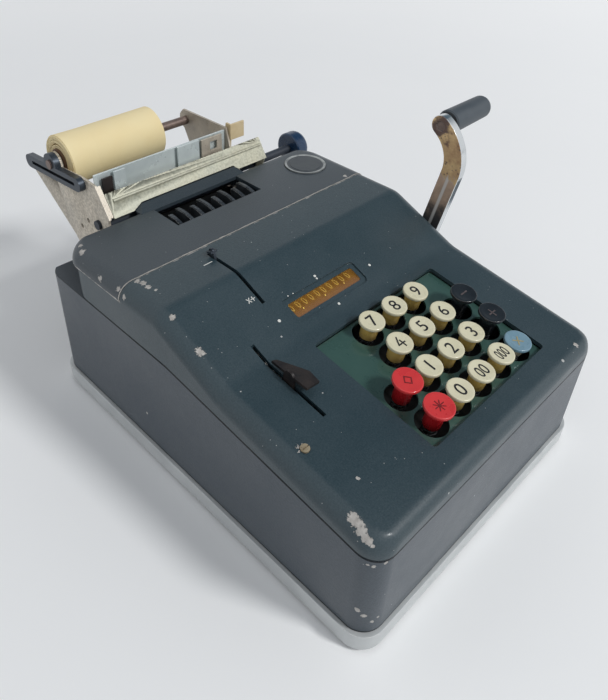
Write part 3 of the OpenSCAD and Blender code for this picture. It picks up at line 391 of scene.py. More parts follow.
# %% Rubbed seam
rubbed = Group("Shader", "rubbed seam", {
    "Place": ORIGIN, "Point": ORIGIN, "Facing": (0.0, 1.0, 0.0), "Toward": (0.0, 0.0, 1.0),
    "Width": 0.0006, "Scale": 60.0, "Amount": 0.5}, "Mask")
given = rubbed.given
offset = rubbed.vector("SUBTRACT", given["Place"], given["Point"])
distance = rubbed.calc("ABSOLUTE", rubbed.vector("DOT_PRODUCT", offset, given["Facing"]))
come_and_go = rubbed.noise(given["Place"], given["Scale"], 6.0, 0.7)
strength = rubbed.calc("MULTIPLY", rubbed.plus(come_and_go, rubbed.minus(given["Amount"], 1.0)),
                       5.0, clamp=True)
half = rubbed.times(strength, given["Width"])
line = rubbed.rest(rubbed.ramp(distance, rubbed.times(half, 0.6), rubbed.plus(half, 0.00005)))
along = rubbed.vector("DOT_PRODUCT", offset, given["Toward"])
rubbed.hand_out(Mask=rubbed.times(line, rubbed.calc("GREATER_THAN", along, -0.0008)))

# %% [markdown]
# ## Starting a finish
# Each material begins the same way: a Principled shader, the piece's Object coordinates, and a
# fine noise that feeds Bump, because no real surface is perfectly smooth. Numbers that are the
# same all over, such as the coat's roughness, are set straight on the shader.

# %% Material helpers


class Finish(Tree):
    def __init__(self, name, **values):
        self.material = bpy.data.materials.new(name)
        self.material.use_nodes = True
        super().__init__(self.material.node_tree)
        self.shader = self.tree.nodes["Principled BSDF"]
        self.place = self.add("ShaderNodeTexCoord").outputs["Object"]
        for socket, value in values.items():
            self.shader.inputs[socket.replace("_", " ")].default_value = value

    def along(self, axis):
        return self.part(self.place, axis)

    def attribute(self, name):
        return self.add("ShaderNodeAttribute", attribute_name=name).outputs["Fac"]

    def use(self, group, **values):
        made = self.add("ShaderNodeGroup", node_tree=group.tree)
        self.give(made.inputs["Place"], self.place)
        for socket, value in values.items():
            self.give(made.inputs[socket.replace("_", " ")], value)
        return made.outputs

    def patches(self, scale, contrast, first, second):
        return self.use(mottle, Scale=scale, Contrast=contrast, First_colour=first,
                        Second_colour=second)

    def specks(self, scale, size, share):
        return self.use(specks, Scale=scale, Size=size, Share=share)["Mask"]

    def edge_wear(self, scale, amount):
        return self.use(worn_edge, Edge=self.attribute("edge"), Scale=scale, Amount=amount)["Mask"]

    def feed(self, socket, value):
        self.give(self.shader.inputs[socket], value)

    def rough(self, low, high, mask):
        self.feed("Roughness", self.plus(self.times(mask, high - low), low))

    def bump(self, scale, depth, height=None):
        fine = self.noise(self.place, scale, 3.0)
        if height is not None:
            fine = self.plus(fine, height)
        made = self.add("ShaderNodeBump", {"Strength": 1.0, "Distance": depth, "Height": fine})
        self.feed("Normal", made.outputs["Normal"])


print("material helpers ready")

# %% [markdown]
# ## Floor and sky
# The floor is a matt sheet. What a gloss mirrors matters as much as what lights it, so rays that
# come off a glossy surface meet a brighter sky than the rest. A dark patch in it stands for the
# unlit side of the room behind the machine, which the key slope mirrors to the camera. Far from
# the machine the sheet shines a little for the camera alone, as the lamp fades there.

# %% Floor material
sheet = Finish("floor_sheet", Roughness=0.95)
sheet_look = sheet.patches(2.5, 0.8, rgb(0.86, 0.875, 0.88), rgb(0.93, 0.935, 0.935))
sheet.feed("Base Color", sheet_look["Colour"])
from_machine = sheet.vector("LENGTH", sheet.place)
lift = sheet.times(sheet.ramp(from_machine, 0.25, 1.7), 0.20)
to_eye = sheet.add("ShaderNodeLightPath").outputs["Is Camera Ray"]
sheet.feed("Emission Color", sheet.mix(sheet.times(lift, to_eye), rgb(0.0, 0.0, 0.0),
                                       rgb(1.0, 1.0, 0.99)))
sheet.shader.inputs["Emission Strength"].default_value = 1.0
floor.data.materials.append(sheet.material)
print("floor done")

# %% Sky
dome = Tree(sky.node_tree)
looked = dome.add("ShaderNodeTexCoord").outputs["Generated"]
lit_side = dome.ramp(dome.vector("DOT_PRODUCT", looked, Vector((0.72, -0.69, 0.0))), -0.9, 0.9)
around = dome.mix(lit_side, rgb(0.64, 0.65, 0.67), rgb(0.46, 0.47, 0.48))
high_up = dome.ramp(dome.part(looked, 2), 0.25, 0.95)
overhead = dome.mix(high_up, around, rgb(0.44, 0.455, 0.48))
dark_side = Vector((0.62, 0.15, 0.77)).normalized()
unlit = dome.ramp(dome.vector("DOT_PRODUCT", looked, dark_side), 0.80, 0.97)
mirrored = dome.mix(unlit, rgb(0.84, 0.86, 0.88), rgb(0.10, 0.15, 0.19))
ray = dome.add("ShaderNodeLightPath").outputs
shown = dome.mix(ray["Is Glossy Ray"], overhead, mirrored)
shown = dome.mix(ray["Is Camera Ray"], shown, rgb(0.72, 0.725, 0.725))
background = dome.tree.nodes["Background"].inputs
dome.give(background["Color"], shown)
background["Strength"].default_value = 1.0
print("sky:", len(dome.tree.nodes), "nodes")

# %% [markdown]
# ## The covers' paint
# The covers wear a dark blue-grey stoving enamel, satin when new and now dull in places, with
# dust, pin nicks and a few chips that go down to pale primer. A bevelled copy of each cover
# carries an `edge` value along its rims, and the paint is worn through there. The chips sit
# where the photograph has them, found with `spot`.

# %% Where the paint is worn
CHIPS = [(352, 517, 2.1), (357, 523, 2.5), (361, 530, 2.6), (365, 537, 2.1), (369, 542, 1.5),
         (373, 546, 0.9), (173, 317, 1.6), (200.5, 352, 2.4), (357, 610, 1.2), (364, 616, 1.3),
         (372, 622, 1.2), (378, 617, 0.8), (368, 565, 0.8), (374, 566.5, 0.9), (386, 563, 0.9),
         (82, 252, 1.9), (80, 246, 1.3), (100, 279, 1.6), (118, 289, 1.6), (124, 297, 1.5),
         (138, 281, 1.5), (143, 283, 1.8), (148, 287, 1.6), (156, 290, 0.9), (301, 447, 2.2),
         (345, 176, 1.4), (470, 372, 0.8), (576, 345, 1.4), (147, 413, 0.8), (358, 478, 0.9)]
CHIP_SPOTS = [(spot(u, v), radius) for u, v, radius in CHIPS]
cover_points = [v.co for v in nodes["rear_cover"].data.vertices]
hood_side = max(p.x for p in cover_points)
hood_front = min(p.y for p in cover_points)
hood_skirt = min(p.z for p in cover_points if p.x > hood_side - 0.0001)
UPWARD, REARWARD = (0.0, 0.0, 1.0), (0.0, 1.0, 0.0)
SEAMS = [(0.0, REARWARD, UPWARD, 0.55, 0.53, 75.0), (-0.9, REARWARD, UPWARD, 0.5, 0.50, 140.0),
         (0.4, UPWARD, REARWARD, 0.7, 0.60, 60.0)]
print("chips:", len(CHIPS), "and the hood's skirt at", round(hood_skirt, 4))

# %% [markdown]
# ## Dirt and painted shade in the long seams
# Two dark lines run round the machine: one where the casing sinks into the tray, and one where
# the front cover sits on the casing, level at the rear and falling to the front. A thin gap holds
# dirt and shade that a pixel can't resolve as geometry, so the paint darkens beside it as painted
# shade and dirt. A black metal mirrors next to nothing, so the line is made metallic too, or the
# paint's gloss would show.
# The rear shelf lies in the same plane as the seam, so only upright surfaces take the line.

# %% Dark lines
seam_front, seam_bend = at(0, 2, 67.5), at(0, 142, 84.5)


# The mask of the painted shade and dirt beside the two seams.
def dark_lines(finish):
    up = finish.along(2)
    sunk = finish.ramp(up, tray_high.z + 0.0004, tray_high.z + 0.0018)
    seam = finish.add("ShaderNodeMapRange", {
        0: finish.along(1), 1: seam_front.y, 2: seam_bend.y,
        3: seam_front.z, 4: seam_bend.z}).outputs[0]
    off_seam = finish.apart(up, seam)
    clear_of = finish.times(sunk, finish.ramp(off_seam, 0.0004, 0.0011))
    facing = finish.add("ShaderNodeNewGeometry").outputs["Normal"]
    upward = finish.calc("ABSOLUTE", finish.part(facing, 2))
    return finish.times(finish.rest(finish.ramp(upward, 0.60, 0.85)), finish.rest(clear_of))


print("seam falls from", round(seam_bend.z, 4), "to", round(seam_front.z, 4))

# %% Enamel
BARE_PRIMER = (rgb(0.28, 0.265, 0.245), rgb(0.54, 0.52, 0.49))
DUST = rgb(0.62, 0.62, 0.60)
SEAM_DIRT_AND_SHADE = rgb(0.006, 0.006, 0.007)


def enamel(name, first, second, fine_first, fine_second):
    made = Finish(name, Coat_Roughness=0.2, Specular_IOR_Level=0.45)
    tone = made.patches(22.0, 1.8, first, second)
    grain = made.patches(1300.0, 2.4, fine_first, fine_second)
    bared = [made.edge_wear(70.0, 0.60)]
    for place, radius in CHIP_SPOTS:
        bared.append(made.use(chip, Centre=place, Radius=radius * MM, Ragged=1.0)["Mask"])
    for shift, facing, toward_end, width, amount, scale in SEAMS:
        corner = Vector((0, hood_front, hood_skirt)) + Vector(facing) * shift * MM
        bared.append(made.use(rubbed, Point=corner, Facing=facing, Toward=toward_end,
                              Width=width * MM, Amount=amount, Scale=scale)["Mask"])
    worn = made.most(*bared)
    nicks = made.most(made.specks(130.0, 0.07, 0.10), made.specks(60.0, 0.055, 0.12))
    dusty = made.most(made.times(made.specks(330.0, 0.08, 0.16), 0.45), made.times(nicks, 0.6))
    seam_dirt_and_shade = dark_lines(made)
    colour = made.mix(0.5, tone["Colour"], grain["Colour"])
    colour = made.mix(worn, colour, made.patches(400.0, 2.0, *BARE_PRIMER)["Colour"])
    colour = made.mix(dusty, colour, DUST)
    # The seam lines: painted shade and dirt, near black, metallic and without coat.
    made.feed("Base Color", made.mix(made.times(seam_dirt_and_shade, 0.9), colour, SEAM_DIRT_AND_SHADE))
    made.feed("Metallic", seam_dirt_and_shade)
    made.rough(0.33, 0.54, made.most(tone["Mask"], worn))
    made.feed("Coat Weight", made.times(made.rest(made.most(worn, seam_dirt_and_shade)), 0.25))
    made.bump(1300.0, 0.00012, height=made.times(worn, -1.0))
    return made


paint = enamel("cover_paint", rgb(0.008, 0.028, 0.038), rgb(0.022, 0.044, 0.056),
               rgb(0.008, 0.022, 0.030), rgb(0.046, 0.070, 0.082))
hood_paint = enamel("hood_paint", rgb(0.010, 0.025, 0.037), rgb(0.036, 0.046, 0.055),
                    rgb(0.012, 0.022, 0.032), rgb(0.060, 0.073, 0.082))
shell_paint = enamel("shell_paint", rgb(0.016, 0.029, 0.042), rgb(0.034, 0.049, 0.066),
                     rgb(0.014, 0.025, 0.036), rgb(0.062, 0.079, 0.098))
print("three shades of enamel")

# %% [markdown]
# ## Metals
# The tray is dull pale aluminium paint. The tear bar and the left bracket are zinc plated, with
# the yellow bloom and grey spangles that old plating has. The right bracket has tarnished brown,
# and small steel parts are blued. The steel seen in the key holes and the pan in the type window
# are painted black as shade, so the holes and the window read dark. Most of these finishes are
# one mottled tone with a brighter worn edge, so a single function makes them from their numbers.

# %% Mottled metals


def mottled(name, first, second, scale, contrast, gloss, grain, edge=None, **values):
    """gloss: lowest and highest roughness; grain: scale and depth of the bump; edge: scale,
    amount and colour of what shows where an edge is worn."""
    made = Finish(name, **values)
    tone = made.patches(scale, contrast, first, second)
    colour = tone["Colour"]
    if edge:
        colour = made.mix(made.edge_wear(*edge[:2]), colour, edge[2])
    made.feed("Base Color", colour)
    made.rough(*gloss, tone["Mask"])
    made.bump(*grain)
    return made


tray = mottled("tray_metal", rgb(0.46, 0.48, 0.485), rgb(0.62, 0.64, 0.64), 35.0, 1.8,
               (0.38, 0.58), (700.0, 0.00005), (120.0, 0.52, rgb(0.72, 0.72, 0.70)), Metallic=0.35)
blued = mottled("blued_steel", rgb(0.020, 0.028, 0.040), rgb(0.060, 0.075, 0.095), 80.0, 1.8,
                (0.28, 0.46), (800.0, 0.00004), (160.0, 0.5, rgb(0.45, 0.43, 0.40)), Metallic=0.55)
type_dark = mottled("type_dark", rgb(0.040, 0.048, 0.056), rgb(0.13, 0.145, 0.16), 140.0, 1.8,
                    (0.26, 0.46), (800.0, 0.00004), (220.0, 0.8, rgb(0.66, 0.67, 0.66)),
                    Metallic=0.7)
steel = mottled("bright_steel", rgb(0.42, 0.42, 0.41), rgb(0.62, 0.61, 0.59), 110.0, 1.5,
                (0.24, 0.44), (900.0, 0.00003), Metallic=1.0)
brass = mottled("brass", rgb(0.46, 0.31, 0.10), rgb(0.66, 0.48, 0.20), 110.0, 1.5,
                (0.26, 0.46), (900.0, 0.00003), Metallic=1.0)
table_blue = mottled("table_sheet", rgb(0.50, 0.56, 0.56), rgb(0.72, 0.79, 0.78), 24.0, 2.4,
                     (0.22, 0.40), (40.0, 0.0002), Metallic=0.25, Coat_Weight=0.3)
print("mottled metals: tray, blued, type, bright, brass, table")

# %% Plated and tarnished sheet


def plated(name, first, second, dark, bright, share):
    made = Finish(name, Metallic=0.35)
    bloom = made.patches(55.0, 2.4, first, second)
    spangle = made.patches(620.0, 3.0, dark, bright)
    made.feed("Base Color", made.mix(share, bloom["Colour"], spangle["Colour"]))
    made.rough(0.36, 0.62, spangle["Mask"])
    made.bump(1100.0, 0.00008)
    return made


def tarnished(name, first, second):
    made = Finish(name, Metallic=0.4)
    tone = made.patches(90.0, 2.2, first, second)
    grains = made.times(made.specks(700.0, 0.2, 0.25), 0.5)
    made.feed("Base Color", made.mix(grains, tone["Colour"], rgb(0.04, 0.028, 0.024)))
    made.rough(0.34, 0.60, tone["Mask"])
    made.bump(900.0, 0.00008)
    return made


zinc = plated("zinc_plate", rgb(0.38, 0.40, 0.33), rgb(0.50, 0.48, 0.35),
              rgb(0.20, 0.19, 0.15), rgb(0.64, 0.63, 0.52), 0.45)
dull_zinc = plated("dull_zinc", rgb(0.50, 0.46, 0.38), rgb(0.70, 0.62, 0.50),
                   rgb(0.18, 0.15, 0.12), rgb(0.82, 0.76, 0.66), 0.5)
brown_steel = tarnished("brown_steel", rgb(0.30, 0.26, 0.21), rgb(0.56, 0.50, 0.41))
brown_rod = tarnished("brown_rod", rgb(0.12, 0.085, 0.075), rgb(0.27, 0.20, 0.17))
brown_tab = tarnished("brown_tab", rgb(0.006, 0.005, 0.006), rgb(0.034, 0.025, 0.022))
# Near-black steel as painted shade: the key holes, stems and springs, and the pan read dark.
black_for_shade = tarnished("blackened_steel", rgb(0.006, 0.007, 0.008), rgb(0.020, 0.021, 0.022))
screw_gilt = tarnished("old_screw", rgb(0.24, 0.19, 0.12), rgb(0.50, 0.43, 0.30))
print("two zincs and five tarnished steels")

# %% [markdown]
# ## Chrome on the crank
# Chrome has no colour of its own: it shows the room. What gives it away as old is the layer
# under it. Brown stains creep over the bend, the straight part is painted darker further down
# with one painted highlight, a bright line, along its middle, pits break the mirror in small
# dots, and the end by the grip has gone dark.
# The stains follow height on the machine, frayed by noise, and keep to the broad faces.

# %% Stains on the chrome
chrome = Finish("crank_chrome")
elbow_at, shaft_at = at(0, 118.5, 131), at(0, 136, 50)
pin_at = middle_of(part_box("grip_pin"))
stain = chrome.patches(130.0, 2.6, rgb(0.50, 0.27, 0.12), rgb(1.0, 0.70, 0.34))
fray = chrome.times(chrome.minus(stain["Mask"], 0.5), 0.014)
frayed = chrome.plus(chrome.along(2), fray)
above_bend = chrome.ramp(frayed, elbow_at.z - 0.006, elbow_at.z - 0.002)
flat_face = chrome.attribute("face")
brown_here = chrome.times(above_bend, flat_face)
dark_here = chrome.times(chrome.rest(above_bend), flat_face)
print("chrome stains start at z =", round(elbow_at.z, 4))

# %% Dark straight part and its painted highlight
run = (elbow_at - shaft_at).normalized()
square = Vector((0, run.z, -run.y))
off_line = chrome.apart(chrome.vector("DOT_PRODUCT", chrome.place, square), elbow_at.dot(square))
# The glint is a painted highlight: one bright line along the middle of the straight part.
glint = chrome.times(chrome.rest(chrome.ramp(off_line, 0.0005, 0.0015)), 0.85)
# The straight part's broad face is painted darker further down.
dark_and_glint = chrome.mix(chrome.ramp(frayed, elbow_at.z - 0.036, elbow_at.z - 0.006),
                   rgb(0.040, 0.032, 0.030), rgb(0.66, 0.45, 0.31))
dark_and_glint = chrome.mix(glint, dark_and_glint, rgb(0.84, 0.80, 0.75))
colour = chrome.mix(chrome.times(brown_here, 0.92), rgb(0.66, 0.68, 0.69), stain["Colour"])
colour = chrome.mix(chrome.times(dark_here, 0.92), colour, dark_and_glint)
print("bright line", [round(c, 3) for c in run])

# %% Pits and the dark end
patchy = chrome.use(mottle, Scale=60.0, Contrast=3.0)["Mask"]
pitted = chrome.times(chrome.specks(620.0, 0.40, 0.5), chrome.ramp(patchy, 0.35, 0.60))
pitted = chrome.times(pitted, brown_here)
colour = chrome.mix(chrome.times(pitted, 0.75), colour, rgb(0.07, 0.045, 0.05))
side_view = chrome.vector("MULTIPLY", chrome.place, (0.0, 1.0, 1.0))
from_pin = chrome.vector("DISTANCE", side_view, (0.0, pin_at.y, pin_at.z))
round_pin = chrome.rest(chrome.ramp(chrome.plus(from_pin, fray), 0.0045, 0.0120))
round_pin = chrome.times(chrome.times(round_pin, flat_face), 0.8)
chrome.feed("Base Color", chrome.mix(round_pin, colour, rgb(0.09, 0.065, 0.085)))
chrome.rough(0.12, 0.40, chrome.most(pitted, chrome.times(stain["Mask"], 0.5)))
chrome.bump(500.0, 0.00003)
chrome.feed("Metallic", chrome.rest(chrome.times(flat_face, 0.75)))
print("chrome:", len(chrome.tree.nodes), "nodes")

# %% [markdown]
# ## Key plastics, rubber and grip
# The key tops are moulded in cream, red, black and blue, and decades of fingers have kept their
# tops glossy. The barrels underneath are yellower and darker: partly aged plastic, partly painted
# shade under the caps' rims. The grip and the platen are dark grey and dull, and the platen's knob
# is a glossier dark blue.

# %% Plastics


def plastic(name, first, second, low=0.22, high=0.34, scale=120.0, coat=0.2):
    made = Finish(name, Coat_Roughness=0.1)
    tone = made.patches(scale, 1.4, first, second)
    grime = made.times(made.specks(420.0, 0.10, 0.10), 0.25)
    made.feed("Base Color", made.mix(grime, tone["Colour"], rgb(0.10, 0.08, 0.06)))
    made.rough(low, high, tone["Mask"])
    made.shader.inputs["Coat Weight"].default_value = coat
    made.bump(500.0, 0.00002)
    return made


def ink(name, first, second, scale=600.0):
    return plastic(name, first, second, scale=scale)


cream = plastic("key_cream", rgb(0.62, 0.58, 0.40), rgb(0.70, 0.67, 0.50))
# Barrel finishes: aged colour together with painted shade under the cap's rim.
cream_barrel = plastic("key_cream_barrel", rgb(0.60, 0.40, 0.10), rgb(0.74, 0.54, 0.18))
red = plastic("key_red", rgb(0.52, 0.022, 0.028), rgb(0.68, 0.045, 0.045))
red_barrel = plastic("key_red_barrel", rgb(0.34, 0.008, 0.012), rgb(0.46, 0.015, 0.02))
black = plastic("key_black", rgb(0.008, 0.010, 0.013), rgb(0.018, 0.022, 0.027), 0.12, 0.24)
blue = plastic("key_blue", rgb(0.14, 0.25, 0.32), rgb(0.21, 0.33, 0.41))
pale_barrel = plastic("key_pale_barrel", rgb(0.50, 0.47, 0.36), rgb(0.62, 0.58, 0.44))
tab_cream = plastic("release_cream", rgb(0.52, 0.40, 0.22), rgb(0.66, 0.54, 0.34), 0.3, 0.5)
wheel_dark = plastic("wheel_dark", rgb(0.055, 0.020, 0.006), rgb(0.10, 0.040, 0.012))
grip_black = plastic("grip_black", rgb(0.030, 0.042, 0.054), rgb(0.066, 0.080, 0.094),
                     0.40, 0.58, 90.0, 0.0)
knob_black = plastic("knob_black", rgb(0.004, 0.020, 0.055), rgb(0.014, 0.046, 0.105),
                     0.20, 0.36, 120.0, 0.05)
rubber = plastic("platen_rubber", rgb(0.016, 0.022, 0.034), rgb(0.034, 0.044, 0.060),
                 0.45, 0.65, 90.0, 0.0)
foot_rubber = plastic("foot_rubber", rgb(0.012, 0.012, 0.012), rgb(0.03, 0.03, 0.03),
                      0.7, 0.85, 90.0, 0.0)
figure_black = ink("figure_black", rgb(0.012, 0.012, 0.014), rgb(0.030, 0.028, 0.028))
figure_faint = ink("figure_faint", rgb(0.06, 0.050, 0.052), rgb(0.13, 0.10, 0.10))
figure_gold = ink("figure_gold", rgb(0.30, 0.26, 0.12), rgb(0.44, 0.38, 0.20))
figure_dark_red = ink("figure_dark_red", rgb(0.12, 0.010, 0.012), rgb(0.20, 0.018, 0.02))
figure_pale = ink("figure_pale", rgb(0.90, 0.62, 0.10), rgb(0.98, 0.74, 0.18))
mark_white = ink("mark_white", rgb(0.55, 0.55, 0.52), rgb(0.80, 0.80, 0.76), scale=500.0)
print("plastics, rubbers and inks done")

# %% [markdown]
# ## Key plate, lens, paper and wood
# The sunk key plate is lacquered dark green, glossy enough to mirror the keys. The register's
# lens is amber plastic, half clear, and misted in its lower half. Paper has yellowed, and the
# roll is darker at its ends, most towards the core. The badge has a raised ring that
# handling has rubbed bare, round a bare field.

# %% Key plate and lens
green = Finish("plate_green", Coat_Roughness=0.08, Coat_Weight=0.6)
tone = green.patches(40.0, 1.5, rgb(0.024, 0.066, 0.055), rgb(0.050, 0.108, 0.090))
dust = green.times(green.specks(200.0, 0.07, 0.12), 0.5)
green.feed("Base Color", green.mix(dust, tone["Colour"], rgb(0.42, 0.44, 0.40)))
green.rough(0.22, 0.36, tone["Mask"])
green.bump(600.0, 0.00002)

amber = Finish("amber_lens", Roughness=0.08, Coat_Weight=0.5)
tone = amber.patches(70.0, 1.6, rgb(0.40, 0.17, 0.02), rgb(0.60, 0.30, 0.05))
lens_low, lens_high = corners(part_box("register_lens"))
misted = amber.rest(amber.ramp(amber.along(2), lens_low.z + 0.0008, (lens_low.z + lens_high.z) / 2))
amber.feed("Base Color", amber.mix(misted, tone["Colour"], rgb(0.24, 0.12, 0.07)))
clear = amber.plus(amber.times(tone["Mask"], 0.12), 0.16)
amber.feed("Alpha", amber.plus(clear, amber.times(misted, 0.55)))
print("lens from", round(lens_low.z, 4), "to", round(lens_high.z, 4))

# %% Paper and wood
paper = Finish("aged_paper", Roughness=0.82)
tone = paper.patches(30.0, 1.4, rgb(0.95, 0.78, 0.41), rgb(0.99, 0.88, 0.54))
# Darker at the ends of the roll, by an attribute that the roll carries.
paper.feed("Base Color", paper.mix(paper.attribute("darker_ends"), tone["Colour"],
                                   rgb(0.30, 0.20, 0.14)))
paper.bump(1400.0, 0.00004)

wood = Finish("spool_wood", Roughness=0.6)
drawn_out = wood.add("ShaderNodeMapping", {"Vector": wood.place, "Scale": (0.12, 1.0, 1.0)})
rings = wood.noise(drawn_out.outputs[0], 900.0, 3.0)
wood.feed("Base Color", wood.mix(rings, rgb(0.055, 0.026, 0.014), rgb(0.20, 0.105, 0.055)))
wood.bump(700.0, 0.00006)
print("paper and wood done")

# %% Badge
badge = Finish("badge_metal", Metallic=0.3)
tone = badge.patches(160.0, 2.0, rgb(0.030, 0.038, 0.048), rgb(0.080, 0.090, 0.095))
RING_RADIUS = 0.0133
from_middle = badge.vector("DISTANCE", badge.place, middle_of(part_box("round_badge")))
off_ring = badge.apart(from_middle, RING_RADIUS)
raised = badge.rest(badge.ramp(off_ring, 0.0005, 0.0012))
rubbed_bare = badge.times(raised, badge.calc("ADD", tone["Mask"], 0.25, clamp=True))
badge.feed("Base Color", badge.mix(rubbed_bare, tone["Colour"], rgb(0.42, 0.44, 0.43)))
badge.rough(0.3, 0.5, tone["Mask"])
badge.bump(900.0, 0.00006)
print("badge's ring", round(2 * RING_RADIUS / MM, 1), "mm across")

# %% [markdown]
# ## Every solid gets its finish
# A table from finish to nodes is quick to read and quick to check: a node that is missing from
# it is named in the print here, and isn't found later as a grey patch in the picture.

# %% Finishes of the solids
FINISH = {node: finish for finish, members in (
    (tray, "base_tray"), (foot_rubber, "rubber_feet"), (shell_paint, "lower_shell"),
    (paint, "front_cover"), (hood_paint, "rear_cover"), (green, "key_plate"),
    (amber, "register_lens"), (badge, "round_badge"), (screw_gilt, "casing_screws"),
    # The guide plate and the springs are black as painted shade in the key holes.
    (black_for_shade, "key_guide_plate key_springs"), (brass, "shaft_bushes cam_gear"),
    (steel, "pin_carriage left_frame right_frame frame_rods fixed_shafts main_shaft drive_gear"),
    (steel, "crank_nut crank_spring cam_shaft"), (blued, "correction_lever roll_cradle"),
    (brown_tab, "function_lever"), (chrome, "crank_arm"), (brown_rod, "grip_pin roll_axle"),
    (grip_black, "crank_grip"), (wheel_dark, "number_wheels"),
    (type_dark, "type_segments_raised type_segments_resting"), (dull_zinc, "left_bracket"),
    (brown_steel, "right_bracket paper_bail"), (zinc, "tear_bar"), (rubber, "platen_roller"),
    (knob_black, "platen_knob"), (paper, "paper_roll"), (wood, "paper_spool"),
    (table_blue, "paper_table"), (tab_cream, "release_lever")) for node in members.split()}
KEYS = {
    "key_0": (-1, 0, "0"), "key_00": (0, 0, "00"), "key_000": (1, 0, "000"),
    "key_1": (-1, 1, "1"), "key_2": (0, 1, "2"), "key_3": (1, 1, "3"),
    "key_4": (-1, 2, "4"), "key_5": (0, 2, "5"), "key_6": (1, 2, "6"),
    "key_7": (-1, 3, "7"), "key_8": (0, 3, "8"), "key_9": (1, 3, "9"),
    "key_total": (-2, 0, "*"), "key_subtotal": (-2, 1, "diamond"), "key_repeat": (2, 0, "x"),
    "key_plus": (2, 1, "+"), "key_minus": (2, 2, "-"),
}
for name, thing in nodes.items():
    thing.data.materials.clear()
    thing.data.materials.append(FINISH.get(name, cream).material)
print("finished", len(nodes), "nodes; without:", sorted(set(nodes) - set(FINISH) - set(KEYS)))

# %% [markdown]
# ## Softened copies
# A solid from the CAD has knife edges, and a real cover doesn't: pressing and paint round them,
# and the light that runs along a rounded edge is what makes sheet metal look like metal. The
# solid itself stays untouched. A copy is merged, its flat facets joined, and a narrow bevel
# laid on every sharp edge. The middle row of that bevel is marked in an `edge` attribute, which
# the paint reads to wear through. Weighted normals then let the broad flats keep their own
# direction, so that only the bevels shade round and no facets ghost across a cover.

# %% Bevel and mark a copy
WELD = 2e-6
FLAT, SHARP, SHADED_SHARP = (math.radians(a) for a in (0.6, 28, 34))
BODY_OF = {node: body for body, members in frame["record"]["behaviour"]["bodies"].items()
           for node in members}


def shade(mesh, sharp_from):
    mesh.shade_smooth()
    mesh.set_sharp_from_angle(angle=sharp_from)


def made_real(thing):
    return bpy.data.meshes.new_from_object(
        thing.evaluated_get(bpy.context.evaluated_depsgraph_get()))


def softened(name, width):
    work = bmesh.new()
    work.from_mesh(nodes[name].data)
    bmesh.ops.remove_doubles(work, verts=work.verts, dist=WELD)
    bmesh.ops.dissolve_limit(work, angle_limit=FLAT, verts=work.verts, edges=work.edges,
                             delimit={"NORMAL"})
    mark = work.verts.layers.float.new("edge")
    sharp = [e for e in work.edges if e.is_manifold and e.calc_face_angle() > SHARP]
    made = bmesh.ops.bevel(work, geom=sharp, offset=width * MM, segments=2, profile=0.6,
                           affect="EDGES", clamp_overlap=True, offset_type="OFFSET")
    new_faces = set(made["faces"])
    for vert in made["verts"]:
        if all(face in new_faces for face in vert.link_faces):
            vert[mark] = 1.0
    mesh = bpy.data.meshes.new(name + "_soft")
    work.to_mesh(mesh)
    work.free()
    mesh.materials.append(FINISH[name].material)
    shade(mesh, SHADED_SHARP)
    piece = put(name + "_soft", mesh)
    piece.modifiers.new("shading", "WEIGHTED_NORMAL").keep_sharp = True
    piece.data = made_real(piece)
    piece.modifiers.clear()
    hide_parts(name)
    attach(piece, BODY_OF[name])
    return piece


print("a solid's flats join under", round(math.degrees(FLAT), 1), "degrees")

# %% Soften the covers and sheets
SOFTENED = {"front_cover": 0.7, "rear_cover": 0.7, "lower_shell": 0.6, "base_tray": 0.6,
            "crank_arm": 0.9, "tear_bar": 0.25, "left_bracket": 0.35, "right_bracket": 0.35,
            "roll_cradle": 0.5, "function_lever": 0.3, "correction_lever": 0.25,
            "release_lever": 0.3, "key_plate": 0.25, "round_badge": 0.25, "paper_table": 0.3,
            "paper_bail": 0.2, "type_segments_raised": 0.3, "type_segments_resting": 0.3}
soft = {name: softened(name, width) for name, width in SOFTENED.items()}
for name, piece in soft.items():
    far = [[max(v.co[k] for v in data.vertices) for k in range(3)]
           for data in (piece.data, nodes[name].data)]
    drift = max(abs(a - b) for a, b in zip(*far)) / MM
    print(f"{name}: {len(piece.data.polygons)} faces, drift {drift:.2f} mm")

# %% [markdown]
# ## The broad face of the crank
# The stains on the chrome keep to the broad face that looks at the machine, while the narrow
# edge stays bright. The copy's faces know which way they look, so this is written to an
# attribute as well.

# %% Mark the arm's broad faces
arm = soft["crank_arm"].data
facing = arm.attributes.new("face", "FLOAT", "FACE")
for polygon in arm.polygons:
    facing.data[polygon.index].value = 1.0 if abs(polygon.normal.x) > 0.9 else 0.0
print("broad faces:", sum(1 for d in facing.data if d.value > 0.5))

# %% [markdown]
# ## The four fingers of the bail
# Four upright sheets on the bail's rod press the paper to the platen. On the machine they've
# aged apart: the leftmost is almost black, the next and the third are still pale like the table,
# and the rest is brown. They are one piece with the rod, so the faces of the copy are sorted by
# how far along the rod they lie, in millimetres from its left end.

# %% Finishes of the bail's fingers
FIRST_FINGER, PALE_FINGERS = 11.5, ((11.5, 22), (55, 79))
bail = soft["paper_bail"].data
bail_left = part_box("paper_bail")[0][0]
ROD = 4.5 * MM
rod_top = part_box("paper_bail")[0][2] + ROD
bail.materials.append(table_blue.material)
bail.materials.append(brown_tab.material)
for polygon in bail.polygons:
    along_rod = (polygon.center.x - bail_left) / MM
    if polygon.center.z > rod_top:
        pale = any(a < along_rod < b for a, b in PALE_FINGERS)
        polygon.material_index = 1 if pale else 2 if along_rod < FIRST_FINGER else 0
print("bail faces:", len(bail.polygons), "left end at", round(bail_left, 4))

